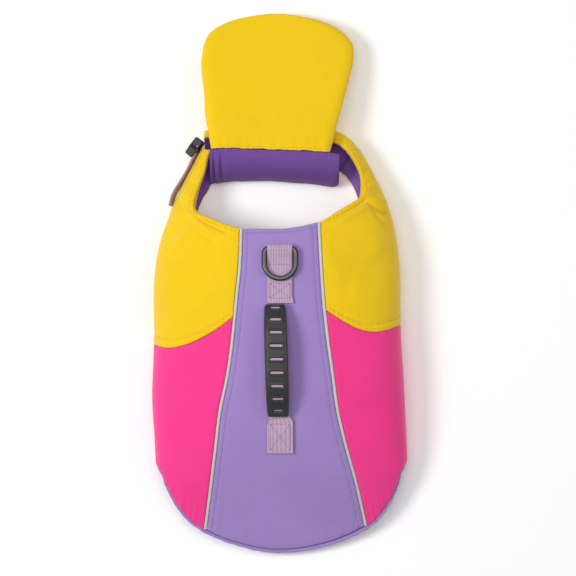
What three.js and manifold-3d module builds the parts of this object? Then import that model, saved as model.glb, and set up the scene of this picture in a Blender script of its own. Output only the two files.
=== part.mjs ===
// Dog life jacket, lying on its belly with its back up and its chin float forward.
// Millimetres. +X is the jacket's right side, +Y points to the chin float, +Z is up.
// The surface that it lies on is z = 0.
import * as THREE from "three";
import { mergeVertices } from "three/addons/utils/BufferGeometryUtils.js";
import Module from "manifold-3d";

// Driving dimensions
const seamGap = 0.3; // between pieces that meet at a seam
const shellWall = 8; // foam padded cloth of the back and flanks
const wingWall = 5; // thinner belly wings
const roundTop = 2.4; // exponent of the crowned upper half of a girth section
const roundUnder = 2.4; // exponent of the lower half
const underDip = 1.15; // how far the lower half would pass the floor before it is laid flat
const pipingWidth = 3.2; // reflective piping in the two long seams
const webbingWidth = 24.6; // handle and ring webbing
const webbingThick = 1.4;
const ringWire = 5; // D-ring wire diameter
const ringWidth = 36; // D-ring over the wire
const gripWidth = 23; // rubber grip on the handle
const gripThick = 8.5;
const gripLift = 13; // clear height under the middle of the grip
const hemRoll = 4; // how far the rolled lining stands out round the tail
const bellySeamX = 88.5; // seam between flank or yoke and belly wing, on the underside
const seamLean = 1.3; // room for the lean of the shell's edge there
const wingFrontY = 22;
const wingBackY = -168;

// The body's girth sections: half widths each side, height of the spine and height of the side fold
const bodySections = [
  { y: 150, left: 66, right: 62, crown: 47, side: 18 },
  { y: 134, left: 79, right: 79.5, crown: 49, side: 19 },
  { y: 119, left: 87, right: 89, crown: 51, side: 19 },
  { y: 100, left: 97, right: 98.5, crown: 55, side: 20 },
  { y: 82, left: 105.5, right: 106.5, crown: 62, side: 21 },
  { y: 59, left: 114, right: 114, crown: 70, side: 22 },
  { y: 35, left: 121.5, right: 118, crown: 76, side: 23 },
  { y: 5, left: 126, right: 120, crown: 79, side: 24 },
  { y: -50, left: 126.5, right: 121.5, crown: 80, side: 24 },
  { y: -110, left: 128, right: 124.5, crown: 78, side: 24 },
  { y: -150, left: 126, right: 126.5, crown: 71, side: 23 },
  { y: -185, left: 124, right: 126.5, crown: 59, side: 18 },
  { y: -215, left: 121, right: 122, crown: 43, side: 12 },
  { y: -245, left: 114, right: 115, crown: 27, side: 8 },
  { y: -275, left: 104, right: 105, crown: 13, side: 6 },
];

// The two long seams, seen from above
const pipingLine = [
  { y: 55, left: -38.4, right: 39 },
  { y: 17, left: -39.8, right: 41 },
  { y: -19, left: -43.5, right: 43.5 },
  { y: -55, left: -47, right: 47.5 },
  { y: -91, left: -52, right: 52.5 },
  { y: -127, left: -59.5, right: 57.5 },
  { y: -163, left: -64, right: 66 },
  { y: -199, left: -68.5, right: 76 },
  { y: -247, left: -75, right: 87 },
];

// Front edge of the spine panel
const neckEdge = [
  { x: -38.4, y: 54.5 },
  { x: -20, y: 54.2 },
  { x: 2, y: 54.2 },
  { x: 20, y: 56.5 },
  { x: 39, y: 61 },
];

// A yoke and its arm as ribs: each starts on the neck edge, rounds the side fold and ends on the
// scallop, on the belly seam or on the edge of the leg opening. foldY is where it rounds the side.
const yokeLeft = [
  { neckX: -38.4, neckY: 54.5, endX: -46, endY: -33.5 },
  { neckX: -47, neckY: 57, endX: -57, endY: -42 },
  { neckX: -56, neckY: 60, endX: -68, endY: -49 },
  { neckX: -65, neckY: 63.5, endX: -82, endY: -56.5 },
  { neckX: -73.5, neckY: 67, endX: -97, endY: -62 },
  { neckX: -80, neckY: 70, endX: -112, endY: -64.5 },
  { neckX: -84.5, neckY: 73.5, endX: -124, endY: -62 },
  { neckX: -86.3, neckY: 77.5, endX: -113, endY: -55, under: true },
  { neckX: -86, neckY: 82, endX: -88.5, endY: -50, under: true },
  { neckX: -85, neckY: 86.5, endX: -88.5, endY: -14, under: true, foldY: 52 },
  { neckX: -83.7, neckY: 91, endX: -88.5, endY: 22, under: true, foldY: 68 },
  { neckX: -82.2, neckY: 95.5, endX: -91, endY: 46, under: true, foldY: 80 },
  { neckX: -80.3, neckY: 100.5, endX: -86, endY: 65, under: true, foldY: 90 },
  { neckX: -78.2, neckY: 106, endX: -82, endY: 77, under: true, foldY: 99 },
  { neckX: -76.3, neckY: 112, endX: -78, endY: 86, under: true, foldY: 107.5 },
  { neckX: -74.8, neckY: 119, endX: -74, endY: 92, under: true, foldY: 116.5 },
  { neckX: -73.4, neckY: 126, endX: -71.8, endY: 97, under: true, foldY: 125.5 },
  { neckX: -70.8, neckY: 133.5, endX: -70.8, endY: 101, under: true, foldY: 134 },
];
const yokeRight = [
  { neckX: 39, neckY: 61, endX: 45.5, endY: -27 },
  { neckX: 47, neckY: 66, endX: 54, endY: -32.5 },
  { neckX: 55.5, neckY: 71.5, endX: 64, endY: -38.5 },
  { neckX: 64, neckY: 76.5, endX: 77, endY: -45 },
  { neckX: 72, neckY: 81, endX: 92, endY: -48.5 },
  { neckX: 77.5, neckY: 84, endX: 106, endY: -47 },
  { neckX: 80.5, neckY: 87, endX: 118, endY: -43 },
  { neckX: 81.8, neckY: 91, endX: 110, endY: -38, under: true },
  { neckX: 82.4, neckY: 95, endX: 88.5, endY: -36, under: true },
  { neckX: 82.6, neckY: 99, endX: 88.5, endY: -8, under: true, foldY: 56 },
  { neckX: 82.4, neckY: 103, endX: 88.5, endY: 22, under: true, foldY: 72 },
  { neckX: 81.8, neckY: 107, endX: 90, endY: 48, under: true, foldY: 85 },
  { neckX: 80.4, neckY: 112, endX: 84, endY: 70, under: true, foldY: 96 },
  { neckX: 78.4, neckY: 117, endX: 79, endY: 86, under: true, foldY: 106 },
  { neckX: 75.4, neckY: 122.5, endX: 74.5, endY: 97, under: true, foldY: 116 },
  { neckX: 71.8, neckY: 128, endX: 68.5, endY: 106, under: true, foldY: 125 },
  { neckX: 67.8, neckY: 133, endX: 62, endY: 111.5, under: true, foldY: 133 },
];

// Shell edge at the hem, from under the left flank round the tail to under the right one
const hemLeft = [
  { x: -88.5, y: -168, under: true },
  { x: -113, y: -175, under: true },
  { x: -121, y: -187 },
  { x: -113.5, y: -203 },
  { x: -106, y: -217 },
  { x: -98, y: -229 },
  { x: -88, y: -239.5 },
  { x: -75, y: -248.5 },
];
const hemTail = [
  { x: -75, y: -248.5 },
  { x: -58, y: -256 },
  { x: -40, y: -262 },
  { x: -20, y: -267 },
  { x: 0, y: -268.8 },
  { x: 22, y: -267 },
  { x: 47, y: -261.5 },
  { x: 67, y: -254.5 },
  { x: 87, y: -244.5 },
];
const hemRight = [
  { x: 88.5, y: -168, under: true },
  { x: 115, y: -174, under: true },
  { x: 123.5, y: -186 },
  { x: 118, y: -202 },
  { x: 111, y: -217 },
  { x: 104, y: -227.5 },
  { x: 96.5, y: -236.5 },
  { x: 87, y: -244.5 },
];

// Front band: goes on from the right arm, under the chin float, to the neck buckle.
// Upper edge, outermost line and lower edge of each rib.
const frontBand = [
  { upX: 60.5, upY: 138, upZ: 34, outX: 69, outY: 143, outZ: 19, lowX: 53, lowY: 114.5 },
  { upX: 51, upY: 142, upZ: 31, outX: 56.5, outY: 150.5, outZ: 17, lowX: 44, lowY: 117 },
  { upX: 36, upY: 144, upZ: 28.5, outX: 38, outY: 153.5, outZ: 16, lowX: 32, lowY: 119 },
  { upX: 0, upY: 145, upZ: 28, outX: 0, outY: 154.5, outZ: 15.5, lowX: 0, lowY: 120 },
  { upX: -38, upY: 146, upZ: 28, outX: -40, outY: 154.5, outZ: 15.5, lowX: -40, lowY: 122 },
  { upX: -64, upY: 147, upZ: 28, outX: -65, outY: 153, outZ: 16, lowX: -64, lowY: 125 },
  { upX: -75.5, upY: 147, upZ: 28, outX: -76.5, outY: 151, outZ: 16, lowX: -75, lowY: 130 },
];
const bandWall = 5;
const bandLowZ = 2;

// Chest pad, joined to the left arm: lower edge near the floor, upper edge carrying the float
const padEdges = [
  { lowX: -67.7, lowY: 99, topX: -67.7, topY: 133 },
  { lowX: -62, lowY: 99.8, topX: -62, topY: 133.6 },
  { lowX: -55, lowY: 100.6, topX: -55, topY: 134.2 },
  { lowX: -42, lowY: 101.8, topX: -42, topY: 134 },
  { lowX: -6, lowY: 101.6, topX: -6, topY: 132.6 },
  { lowX: 34, lowY: 98.2, topX: 34, topY: 131.2 },
  { lowX: 52, lowY: 96, topX: 52, topY: 129.6 },
  { lowX: 59, lowY: 98, topX: 59.5, topY: 128 },
];
const padWall = 8.5;
const padLowZ = 5;
const padTopZ = 46;
const padFoldDepth = 2.6; // the two upright folds by the left arm

// Chin float outline, from its hinge edge to its round end
const floatOutline = [
  { y: 0, left: -68, right: 49, rear: true },
  { y: 143, left: -70, right: 53 },
  { y: 155, left: -72.3, right: 56 },
  { y: 167, left: -74.6, right: 59.5 },
  { y: 191, left: -76, right: 66 },
  { y: 215, left: -78.8, right: 72 },
  { y: 228, left: -78.2, right: 73.8 },
  { y: 239, left: -76, right: 73 },
  { y: 247.5, left: -72.5, right: 67 },
  { y: 254, left: -66.5, right: 59.5 },
  { y: 259.5, left: -57, right: 49 },
  { y: 264, left: -46, right: 37 },
  { y: 267.5, left: -30, right: 21 },
  { y: 270, left: -12, right: 4 },
];
const floatHeight = 43.5; // middle of its thickness at the hinge edge
const floatFall = 0.2; // how much it falls for each millimetre forward
const floatThick = 14;

// Belly belts
const belts = [
  { name: "front", y: -30 },
  { name: "rear", y: -118 },
];
const beltBuckle = { x: -20, halfLength: 26, halfWidth: 17, thick: 7 };
const beltReach = 84;

// Neck webbing on the outside of the left arm, and its side-release buckle
const neckWebbing = [
  { x: -109.5, y: 77 },
  { x: -106, y: 89 },
  { x: -99.5, y: 100 },
  { x: -93, y: 110.5 },
  { x: -88.6, y: 119.4 },
];
const neckWebbingWidth = 20;
const neckWebbingLow = 9;

const colours = {
  yellow: 0xf3cf21,
  pink: 0xfa4294,
  lavender: 0xa38ac4,
  lining: 0x6f4a90,
  webbing: 0xb497ac,
  piping: 0xc8c2c4,
  black: 0x1b1b1d,
  ring: 0x4c4c4c,
};

// Smooth value of one column of a section table at y (rows run from front to back)
function columnAt(rows, key, y) {
  const last = rows.length - 1;
  if (y >= rows[0].y) return rows[0][key];
  if (y <= rows[last].y) return rows[last][key];
  const i = rows.findIndex((row, k) => k < last && y > rows[k + 1].y);
  const slope = (k) => {
    const a = rows[Math.max(k - 1, 0)];
    const b = rows[Math.min(k + 1, last)];
    return (b[key] - a[key]) / (b.y - a.y);
  };
  const span = rows[i + 1].y - rows[i].y;
  const t = (y - rows[i].y) / span;
  const smooth = t * t * (3 - 2 * t);
  const startTurn = t * (1 - t) * (1 - t) * span * slope(i);
  const endTurn = t * t * (1 - t) * span * slope(i + 1);
  return rows[i][key] * (1 - smooth) + rows[i + 1][key] * smooth + startTurn - endTurn;
}

// Girth section at y on one side: from the spine over the side fold to the belly's middle.
// Upper half x = w sin^k, z = side + rise cos^k; lower half mirrors it and is laid flat at z = 0.
const sectionSteps = 120;
const sectionCache = new Map();
function girthSection(y, side) {
  const key = side + y.toFixed(2);
  if (sectionCache.has(key)) return sectionCache.get(key);
  const wide = columnAt(bodySections, side, y);
  const crown = columnAt(bodySections, "crown", y);
  const fold = columnAt(bodySections, "side", y);
  const made = [];
  let u = 0;
  for (let k = 0; k <= sectionSteps; k++) {
    const turn = (Math.PI * k) / sectionSteps;
    const upper = turn <= Math.PI / 2;
    const power = 2 / (upper ? roundTop : roundUnder);
    const across = Math.max(0, Math.sin(turn)) ** power;
    const along = Math.abs(Math.cos(turn)) ** power;
    const x = wide * across;
    const z = upper ? fold + (crown - fold) * along : Math.max(0, fold - underDip * fold * along);
    if (k > 0) u += Math.hypot(x - made[k - 1].x, z - made[k - 1].z);
    made.push({ x, z, u, upper });
  }
  sectionCache.set(key, made);
  return made;
}

// Point of the body's form at the girth distance u from the spine (left is negative)
function formPoint(u, y) {
  const made = girthSection(y, u < 0 ? "left" : "right");
  const reach = Math.min(Math.abs(u), made[sectionSteps].u);
  let k = 1;
  while (k < sectionSteps && made[k].u < reach) k++;
  const a = made[k - 1];
  const b = made[k];
  const t = (reach - a.u) / Math.max(b.u - a.u, 1e-9);
  const x = a.x + (b.x - a.x) * t;
  return new THREE.Vector3(u < 0 ? -x : x, y, a.z + (b.z - a.z) * t);
}

function formNormal(u, y) {
  const step = 2;
  const across = formPoint(u + step, y).sub(formPoint(u - step, y));
  const along = formPoint(u, y + step).sub(formPoint(u, y - step));
  return across.cross(along).normalize();
}

// Girth distance of a point known from above; under says that it is on the lower half
function girthOf(x, y, under = false) {
  const made = girthSection(y, x < 0 ? "left" : "right");
  const half = sectionSteps / 2;
  const reach = Math.min(Math.abs(x), made[half].x);
  let k = under ? half + 1 : 1;
  const passed = (point) => (under ? point.x <= reach : point.x >= reach);
  while (k < (under ? sectionSteps : half) && !passed(made[k])) k++;
  const a = made[k - 1];
  const b = made[k];
  const t = THREE.MathUtils.clamp((reach - a.x) / (b.x - a.x || 1), 0, 1);
  const u = a.u + (b.u - a.u) * t;
  return x < 0 ? -u : u;
}

const flat = (point) => new THREE.Vector2(girthOf(point.x, point.y, point.under), point.y);
const smoothEdge = (points) => new THREE.SplineCurve(points.map(flat));

// Patch between four flat edges: front and back run one way, start and finish the other
function patch(front, back, start, finish) {
  return (s, t) => {
    const corner = front(0)
      .multiplyScalar((1 - s) * (1 - t))
      .add(front(1).multiplyScalar(s * (1 - t)))
      .add(back(0).multiplyScalar((1 - s) * t))
      .add(back(1).multiplyScalar(s * t));
    return front(s)
      .multiplyScalar(1 - t)
      .add(back(s).multiplyScalar(t))
      .add(start(t).multiplyScalar(1 - s))
      .add(finish(t).multiplyScalar(s))
      .sub(corner);
  };
}

// Grid places from 0 to 1 with close lines near both ends, for rounded edges
function stops(count, length, edgeSteps = [2.2, 7]) {
  const first = edgeSteps.map((d) => d / length);
  const inner = count - 2 * first.length;
  const low = first[first.length - 1];
  const middle = Array.from({ length: inner - 1 }, (_, k) => low + ((1 - 2 * low) * (k + 1)) / inner);
  return [0, ...first, ...middle, ...first.map((d) => 1 - d).reverse(), 1];
}

// How far a padded surface dips at a distance from its edge: a quarter round of the given depth
function edgeDip(distance, depth, reach = 7) {
  const t = THREE.MathUtils.clamp(distance / reach, 0, 1);
  return depth * (1 - Math.sqrt(1 - (1 - t) ** 2));
}

// One closed body from points and faces, turned so that its faces look out
function solid(points, faces) {
  const geometry = new THREE.BufferGeometry();
  let volume = 0;
  for (const [a, b, c] of faces) {
    volume += points[a].dot(new THREE.Vector3().crossVectors(points[b], points[c]));
  }
  const turned = volume < 0 ? faces.map(([a, b, c]) => [a, c, b]) : faces;
  geometry.setAttribute("position", new THREE.Float32BufferAttribute(points.flatMap((p) => p.toArray()), 3));
  geometry.setIndex(turned.flat());
  return geometry;
}

// Wall between two grids of points (rows of equal length), closed all round
function wall(outer, inner) {
  const rows = outer.length;
  const columns = outer[0].length;
  const points = [...outer.flat(), ...inner.flat()];
  const faces = [];
  const quad = (a, b, c, d) => faces.push([a, b, c], [a, c, d]);
  const at = (i, j, layer) => layer * rows * columns + i * columns + j;
  for (let i = 0; i < rows - 1; i++) {
    for (let j = 0; j < columns - 1; j++) {
      quad(at(i, j, 0), at(i, j + 1, 0), at(i + 1, j + 1, 0), at(i + 1, j, 0));
      quad(at(i, j, 1), at(i + 1, j, 1), at(i + 1, j + 1, 1), at(i, j + 1, 1));
    }
  }
  for (let i = 0; i < rows - 1; i++) {
    quad(at(i, 0, 0), at(i + 1, 0, 0), at(i + 1, 0, 1), at(i, 0, 1));
    quad(at(i + 1, columns - 1, 0), at(i, columns - 1, 0), at(i, columns - 1, 1), at(i + 1, columns - 1, 1));
  }
  for (let j = 0; j < columns - 1; j++) {
    quad(at(0, j + 1, 0), at(0, j, 0), at(0, j, 1), at(0, j + 1, 1));
    quad(at(rows - 1, j, 0), at(rows - 1, j + 1, 0), at(rows - 1, j + 1, 1), at(rows - 1, j, 1));
  }
  return solid(points, faces);
}

// Closed skin over rings of equal count: joined end to end, or capped at both ends
function skin(rings, joined = false) {
  const count = rings[0].length;
  const points = rings.flat();
  const faces = [];
  const last = joined ? rings.length : rings.length - 1;
  for (let i = 0; i < last; i++) {
    for (let j = 0; j < count; j++) {
      const a = i * count + j;
      const b = i * count + ((j + 1) % count);
      const c = ((i + 1) % rings.length) * count + ((j + 1) % count);
      const d = ((i + 1) % rings.length) * count + j;
      faces.push([a, b, c], [a, c, d]);
    }
  }
  if (!joined) {
    for (const ring of [0, rings.length - 1]) {
      const middle = rings[ring].reduce((sum, p) => sum.add(p), new THREE.Vector3()).divideScalar(count);
      points.push(middle);
      for (let j = 0; j < count; j++) {
        const a = ring * count + j;
        const b = ring * count + ((j + 1) % count);
        faces.push(ring === 0 ? [b, a, points.length - 1] : [a, b, points.length - 1]);
      }
    }
  }
  return solid(points, faces);
}

// Padded panel on the body's form. place(s, t) gives its flat points, dips the depth of its four edges:
// start and finish at s = 0 and 1, front and back at t = 0 and 1.
function panel(place, size, dips, thick = shellWall) {
  const across = size.acrossStops ?? stops(size.acrossCount, size.across);
  const along = stops(size.alongCount, size.along);
  const dipAt = (s, t) =>
    Math.max(
      edgeDip(s * size.across, dips.start),
      edgeDip((1 - s) * size.across, dips.finish),
      edgeDip(t * size.along, dips.front),
      edgeDip((1 - t) * size.along, dips.back),
    );
  const layer = (heightAt) =>
    along.map((t) =>
      across.map((s) => {
        const at = place(s, t);
        const height = heightAt(dipAt(s, t));
        return formPoint(at.x, at.y).addScaledVector(formNormal(at.x, at.y), height);
      }),
    );
  return wall(
    layer((dip) => -dip),
    layer((dip) => dip * 0.7 - thick),
  );
}

const root = new THREE.Group();
function add(name, geometry, colour, roughness = 0.85, metalness = 0) {
  const material = new THREE.MeshStandardMaterial({ color: colour, roughness, metalness });
  const mesh = new THREE.Mesh(geometry, material);
  mesh.name = name;
  root.add(mesh);
}

// Long seams with the piping between the panels
const channel = pipingWidth / 2 + seamGap;
const seamAt = (side, y) => columnAt(pipingLine, side, y);
function seamEdge(side, fromY, toY, offset) {
  return (t) => {
    const y = fromY + (toY - fromY) * t;
    return new THREE.Vector2(girthOf(seamAt(side, y), y) + offset, y);
  };
}

// Spine panel
const spineFront = smoothEdge(neckEdge);
const spineBack = smoothEdge(hemTail);
// A curve's stretch between two trims, as a function from 0 to 1
function trimmed(curve, startTrim, endTrim) {
  const length = curve.getLength();
  return (s) => curve.getPointAt((startTrim + s * (length - startTrim - endTrim)) / length);
}
const spinePlace = patch(
  trimmed(spineFront, channel, channel),
  trimmed(spineBack, channel * 1.1, channel * 1.1),
  seamEdge("left", neckEdge[0].y, hemTail[0].y, channel),
  seamEdge("right", neckEdge[4].y, hemTail[8].y, -channel),
);
add(
  "spine_panel",
  panel(
    spinePlace,
    { across: 100, along: 325, acrossCount: 10, alongCount: 20 },
    { start: 1.8, finish: 1.8, front: 2.6, back: 2.2 },
  ),
  colours.lavender,
);

// Reflective piping: a narrow raised strip that fills each long seam
function piping(side, fromY, toY) {
  const rows = Array.from({ length: 25 }, (_, k) => fromY + ((toY - fromY) * k) / 24);
  const profile = [
    [-1, -5],
    [-1, -1.4],
    [-0.55, -0.5],
    [0.55, -0.5],
    [1, -1.4],
    [1, -5],
  ];
  const rings = rows.map((y) =>
    profile.map(([share, height]) => {
      const u = girthOf(seamAt(side, y), y);
      const normal = formNormal(u, y);
      return formPoint(u + (share * pipingWidth) / 2, y).addScaledVector(normal, height);
    }),
  );
  return skin(rings);
}
add("piping_left", piping("left", 53.9, -247), colours.piping, 0.5);
add("piping_right", piping("right", 60.2, -243.5), colours.piping, 0.5);

// Yokes with their arms. Each rib is a smooth curve over neck edge, side fold and end.
function yokeRibs(rows, seamSide) {
  const neck = new THREE.SplineCurve(rows.map((r) => flat({ x: r.neckX, y: r.neckY })));
  const end = new THREE.SplineCurve(rows.map((r) => flat({ x: r.endX, y: r.endY, under: r.under })));
  const sign = Math.sign(rows[0].neckX);
  const foldOf = (y) => sign * girthSection(y, seamSide)[sectionSteps / 2].u;
  const straightFold = (r) => {
    const a = flat({ x: r.neckX, y: r.neckY });
    const b = flat({ x: r.endX, y: r.endY, under: r.under });
    const share = (foldOf(a.y) - a.x) / (b.x - a.x);
    return a.y + (b.y - a.y) * share;
  };
  const fold = new THREE.SplineCurve(rows.map((r, k) => new THREE.Vector2(k, r.foldY ?? straightFold(r))));
  const longSeam = seamEdge(seamSide, rows[0].neckY, rows[0].endY, 0);
  return (s, t) => {
    const a = neck.getPoint(s);
    const b = end.getPoint(s);
    if (b.y < wingFrontY + 2) {
      const seam = girthOf(sign * bellySeamX, b.y, true);
      b.x = sign * Math.min(Math.abs(b.x), Math.abs(seam));
    }
    const foldY = fold.getPoint(s).y;
    const u = a.x + (b.x - a.x) * t;
    const bend = THREE.MathUtils.clamp((foldOf(foldY) - a.x) / (b.x - a.x), 0.2, 0.8);
    const line = a.y + (b.y - a.y) * t;
    const off = foldY - (a.y + (b.y - a.y) * bend);
    const arm = THREE.MathUtils.smoothstep(s, 0.45, 0.6);
    const y = line + (arm * off * t * (1 - t)) / (bend * (1 - bend));
    const alongSeam = longSeam(t);
    const { neckX, neckY, endX, endY } = rows[0];
    const straight = neckX + ((endX - neckX) * (alongSeam.y - neckY)) / (endY - neckY);
    const bow = alongSeam.x - girthOf(straight, alongSeam.y);
    return new THREE.Vector2(u + (bow + sign * channel) * (1 - s) ** 4, y);
  };
}
const ribsLeft = yokeRibs(yokeLeft, "left");
const ribsRight = yokeRibs(yokeRight, "right");
const ribStops = stops(26, 330, [2.5, 8]);
const ribPoints = stops(14, 150, [2.2, 7]);
const yokeWall = (s) => shellWall - 3 * THREE.MathUtils.smoothstep(s, 0.45, 0.75);
function yoke(ribs) {
  const layer = (outer) =>
    ribStops.map((s) =>
      ribPoints.map((t) => {
        const at = ribs(s, t);
        const atScallop = 1 - THREE.MathUtils.smoothstep(s, 0.38, 0.5);
        const dip = Math.max(
          edgeDip(s * 330, 1.8),
          edgeDip((1 - s) * 330, 1.6),
          edgeDip(t * 150, 2),
          edgeDip((1 - t) * 150, 1.8 - 1.1 * atScallop),
        );
        const height = outer ? -dip : dip * 0.7 - yokeWall(s);
        return formPoint(at.x, at.y).addScaledVector(formNormal(at.x, at.y), height);
      }),
    );
  return wall(layer(true), layer(false));
}
add("yoke_left", yoke(ribsLeft), colours.yellow);
add("yoke_right", yoke(ribsRight), colours.yellow);

// Flanks: from the scallop back to the hem, round the side fold to the belly seam
const scallopRows = 8; // rows of a yoke's table before its end curve reaches the belly seam
const scallopGap = 0.8; // along Y, which is 0.3 or more across the slanting seam
function flank(ribs, share, hemRows, side) {
  const sign = side === "left" ? -1 : 1;
  const hemFlat = smoothEdge(hemRows);
  const front = (s) => {
    const at = ribs(s * share, 1);
    at.y -= scallopGap;
    return at;
  };
  const hemLine = trimmed(hemFlat, 0, channel * 1.3);
  const back = (s) => hemLine(1 - s);
  const hemY = hemRows[7].y;
  const start = (t) => {
    const y = front(0).y + (hemY - front(0).y) * t;
    return new THREE.Vector2(girthOf(seamAt(side, y), y) + sign * channel, y);
  };
  const finish = (t) => {
    const y = front(1).y + (hemRows[0].y - front(1).y) * t;
    return flat({ x: sign * bellySeamX, y, under: true });
  };
  return patch(front, back, start, finish);
}
function flankSize(share) {
  const scallopStops = ribStops.filter((s) => s < share - 0.02).map((s) => s / share);
  return { across: 165, along: 170, acrossStops: [...scallopStops, 0.96, 0.987, 1], alongCount: 13 };
}
const flankDips = { start: 1.8, finish: 1, front: 1.9, back: 2.2 };
const shareLeft = scallopRows / (yokeLeft.length - 1);
const shareRight = scallopRows / (yokeRight.length - 1);
const flankLeft = flank(ribsLeft, shareLeft, hemLeft, "left");
const flankRight = flank(ribsRight, shareRight, hemRight, "right");
add("flank_left", panel(flankLeft, flankSize(shareLeft), flankDips), colours.pink);
add("flank_right", panel(flankRight, flankSize(shareRight), flankDips), colours.pink);

// Hem: the lining rolled out past the shell's edge, from under one flank round the tail to the other
const hemSplines = [
  { curve: smoothEdge(hemLeft), backwards: false, share: 0.36 },
  { curve: spineBack, backwards: false, share: 0.3 },
  { curve: smoothEdge(hemRight), backwards: true, share: 0.34 },
];
function hemAt(s) {
  let from = 0;
  for (const { curve, backwards, share } of hemSplines) {
    if (s <= from + share + 1e-9) {
      const t = THREE.MathUtils.clamp((s - from) / share, 0, 1);
      return curve.getPointAt(backwards ? 1 - t : t);
    }
    from += share;
  }
  return hemSplines[2].curve.getPointAt(0);
}
const rollSection = [
  { out: seamGap * 4.4, top: -2.3, under: -7 },
  { out: 2, top: -1.3, under: -7.6 },
  { out: 3, top: -2, under: -6.8 },
  { out: hemRoll, top: -3.6, under: -5.4 },
];
function hemRollSolid(rows = 56) {
  const layer = (key) =>
    Array.from({ length: rows }, (_, k) => {
      const s = k / (rows - 1);
      const here = hemAt(s);
      const ahead = hemAt(Math.min(1, s + 0.012)).sub(hemAt(Math.max(0, s - 0.012)));
      const outward = new THREE.Vector2(ahead.y, -ahead.x).normalize();
      return rollSection.map((row) => {
        const at = here.clone().addScaledVector(outward, row.out);
        return formPoint(at.x, at.y).addScaledVector(formNormal(here.x, here.y), row[key]);
      });
    });
  return wall(layer("top"), layer("under"));
}
add("hem_roll", hemRollSolid(), colours.lavender);

// Linings of the arms: a thin sheet inside each, seen where the arm turns its inner face up
const armLining = { from: 0.5, thick: 1.2 };
function liningOf(ribs) {
  const rows = ribStops.filter((s) => s > armLining.from);
  const columns = ribPoints.slice(1, -1);
  const layer = (depth) =>
    rows.map((s) =>
      columns.map((t) => {
        const at = ribs(s, t);
        return formPoint(at.x, at.y).addScaledVector(formNormal(at.x, at.y), -yokeWall(s) - seamGap - depth);
      }),
    );
  return wall(layer(0), layer(armLining.thick));
}
add("lining_left", liningOf(ribsLeft), colours.lining);
add("lining_right", liningOf(ribsRight), colours.lining);

// Front band: ribs through an upper edge, an outermost line and a lower edge, as a parabola each
function frontBandSolid() {
  const onYoke = (t) => {
    const at = ribsRight(1, t);
    return formPoint(at.x, at.y);
  };
  const first = { up: onYoke(0), out: onYoke(0.42), low: onYoke(1) };
  const rows = frontBand.map((r) => ({
    up: new THREE.Vector3(r.upX, r.upY, r.upZ),
    out: new THREE.Vector3(r.outX, r.outY, r.outZ),
    low: new THREE.Vector3(r.lowX, r.lowY, bandLowZ),
  }));
  const lineOf = (key) => new THREE.CatmullRomCurve3([first[key], ...rows.map((r) => r[key])]);
  const lines = ["up", "out", "low"].map(lineOf);
  const bowed = (s, t) => {
    const [a, c, b] = lines.map((line) => line.getPoint(s));
    const weights = [2 * (t - 0.5) * (t - 1), 4 * t * (1 - t), 2 * t * (t - 0.5)];
    return a.multiplyScalar(weights[0]).addScaledVector(c, weights[1]).addScaledVector(b, weights[2]);
  };
  const surface = (s, t) => {
    const seamed = Math.max(0, 1 - s / 0.16) ** 2;
    return bowed(s, t).addScaledVector(onYoke(t).sub(bowed(0, t)), seamed);
  };
  const step = 0.004;
  const normal = (s, t) => {
    const across = surface(s, Math.min(t + step, 1)).sub(surface(s, Math.max(t - step, 0)));
    const own = across.cross(surface(s + step, t).sub(surface(Math.max(s - step, 0), t))).normalize();
    const seam = ribsRight(1, t);
    return formNormal(seam.x, seam.y).lerp(own, THREE.MathUtils.smoothstep(s, 0, 0.12)).normalize();
  };
  const along = [0.012, 0.03, 0.06, 0.1, 0.16, 0.23, 0.3, 0.38, 0.46, 0.54, 0.62, 0.7, 0.78, 0.86, 0.94, 1];
  const across = stops(10, 78, [1.8, 5]);
  const layer = (outer) =>
    along.map((s) =>
      across.map((t) => {
        const alongEdge = edgeDip(Math.min(t, 1 - t) * 78, 1.6, 5);
        const dip = Math.max(alongEdge, edgeDip((1 - s) * 190, 1.5, 5));
        const height = outer ? -dip : dip * 0.7 - bandWall;
        return surface(s, t).addScaledVector(normal(Math.min(s, 0.99), t), height);
      }),
    );
  return wall(layer(true), layer(false));
}
add("front_band", frontBandSolid(), colours.yellow);

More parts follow.
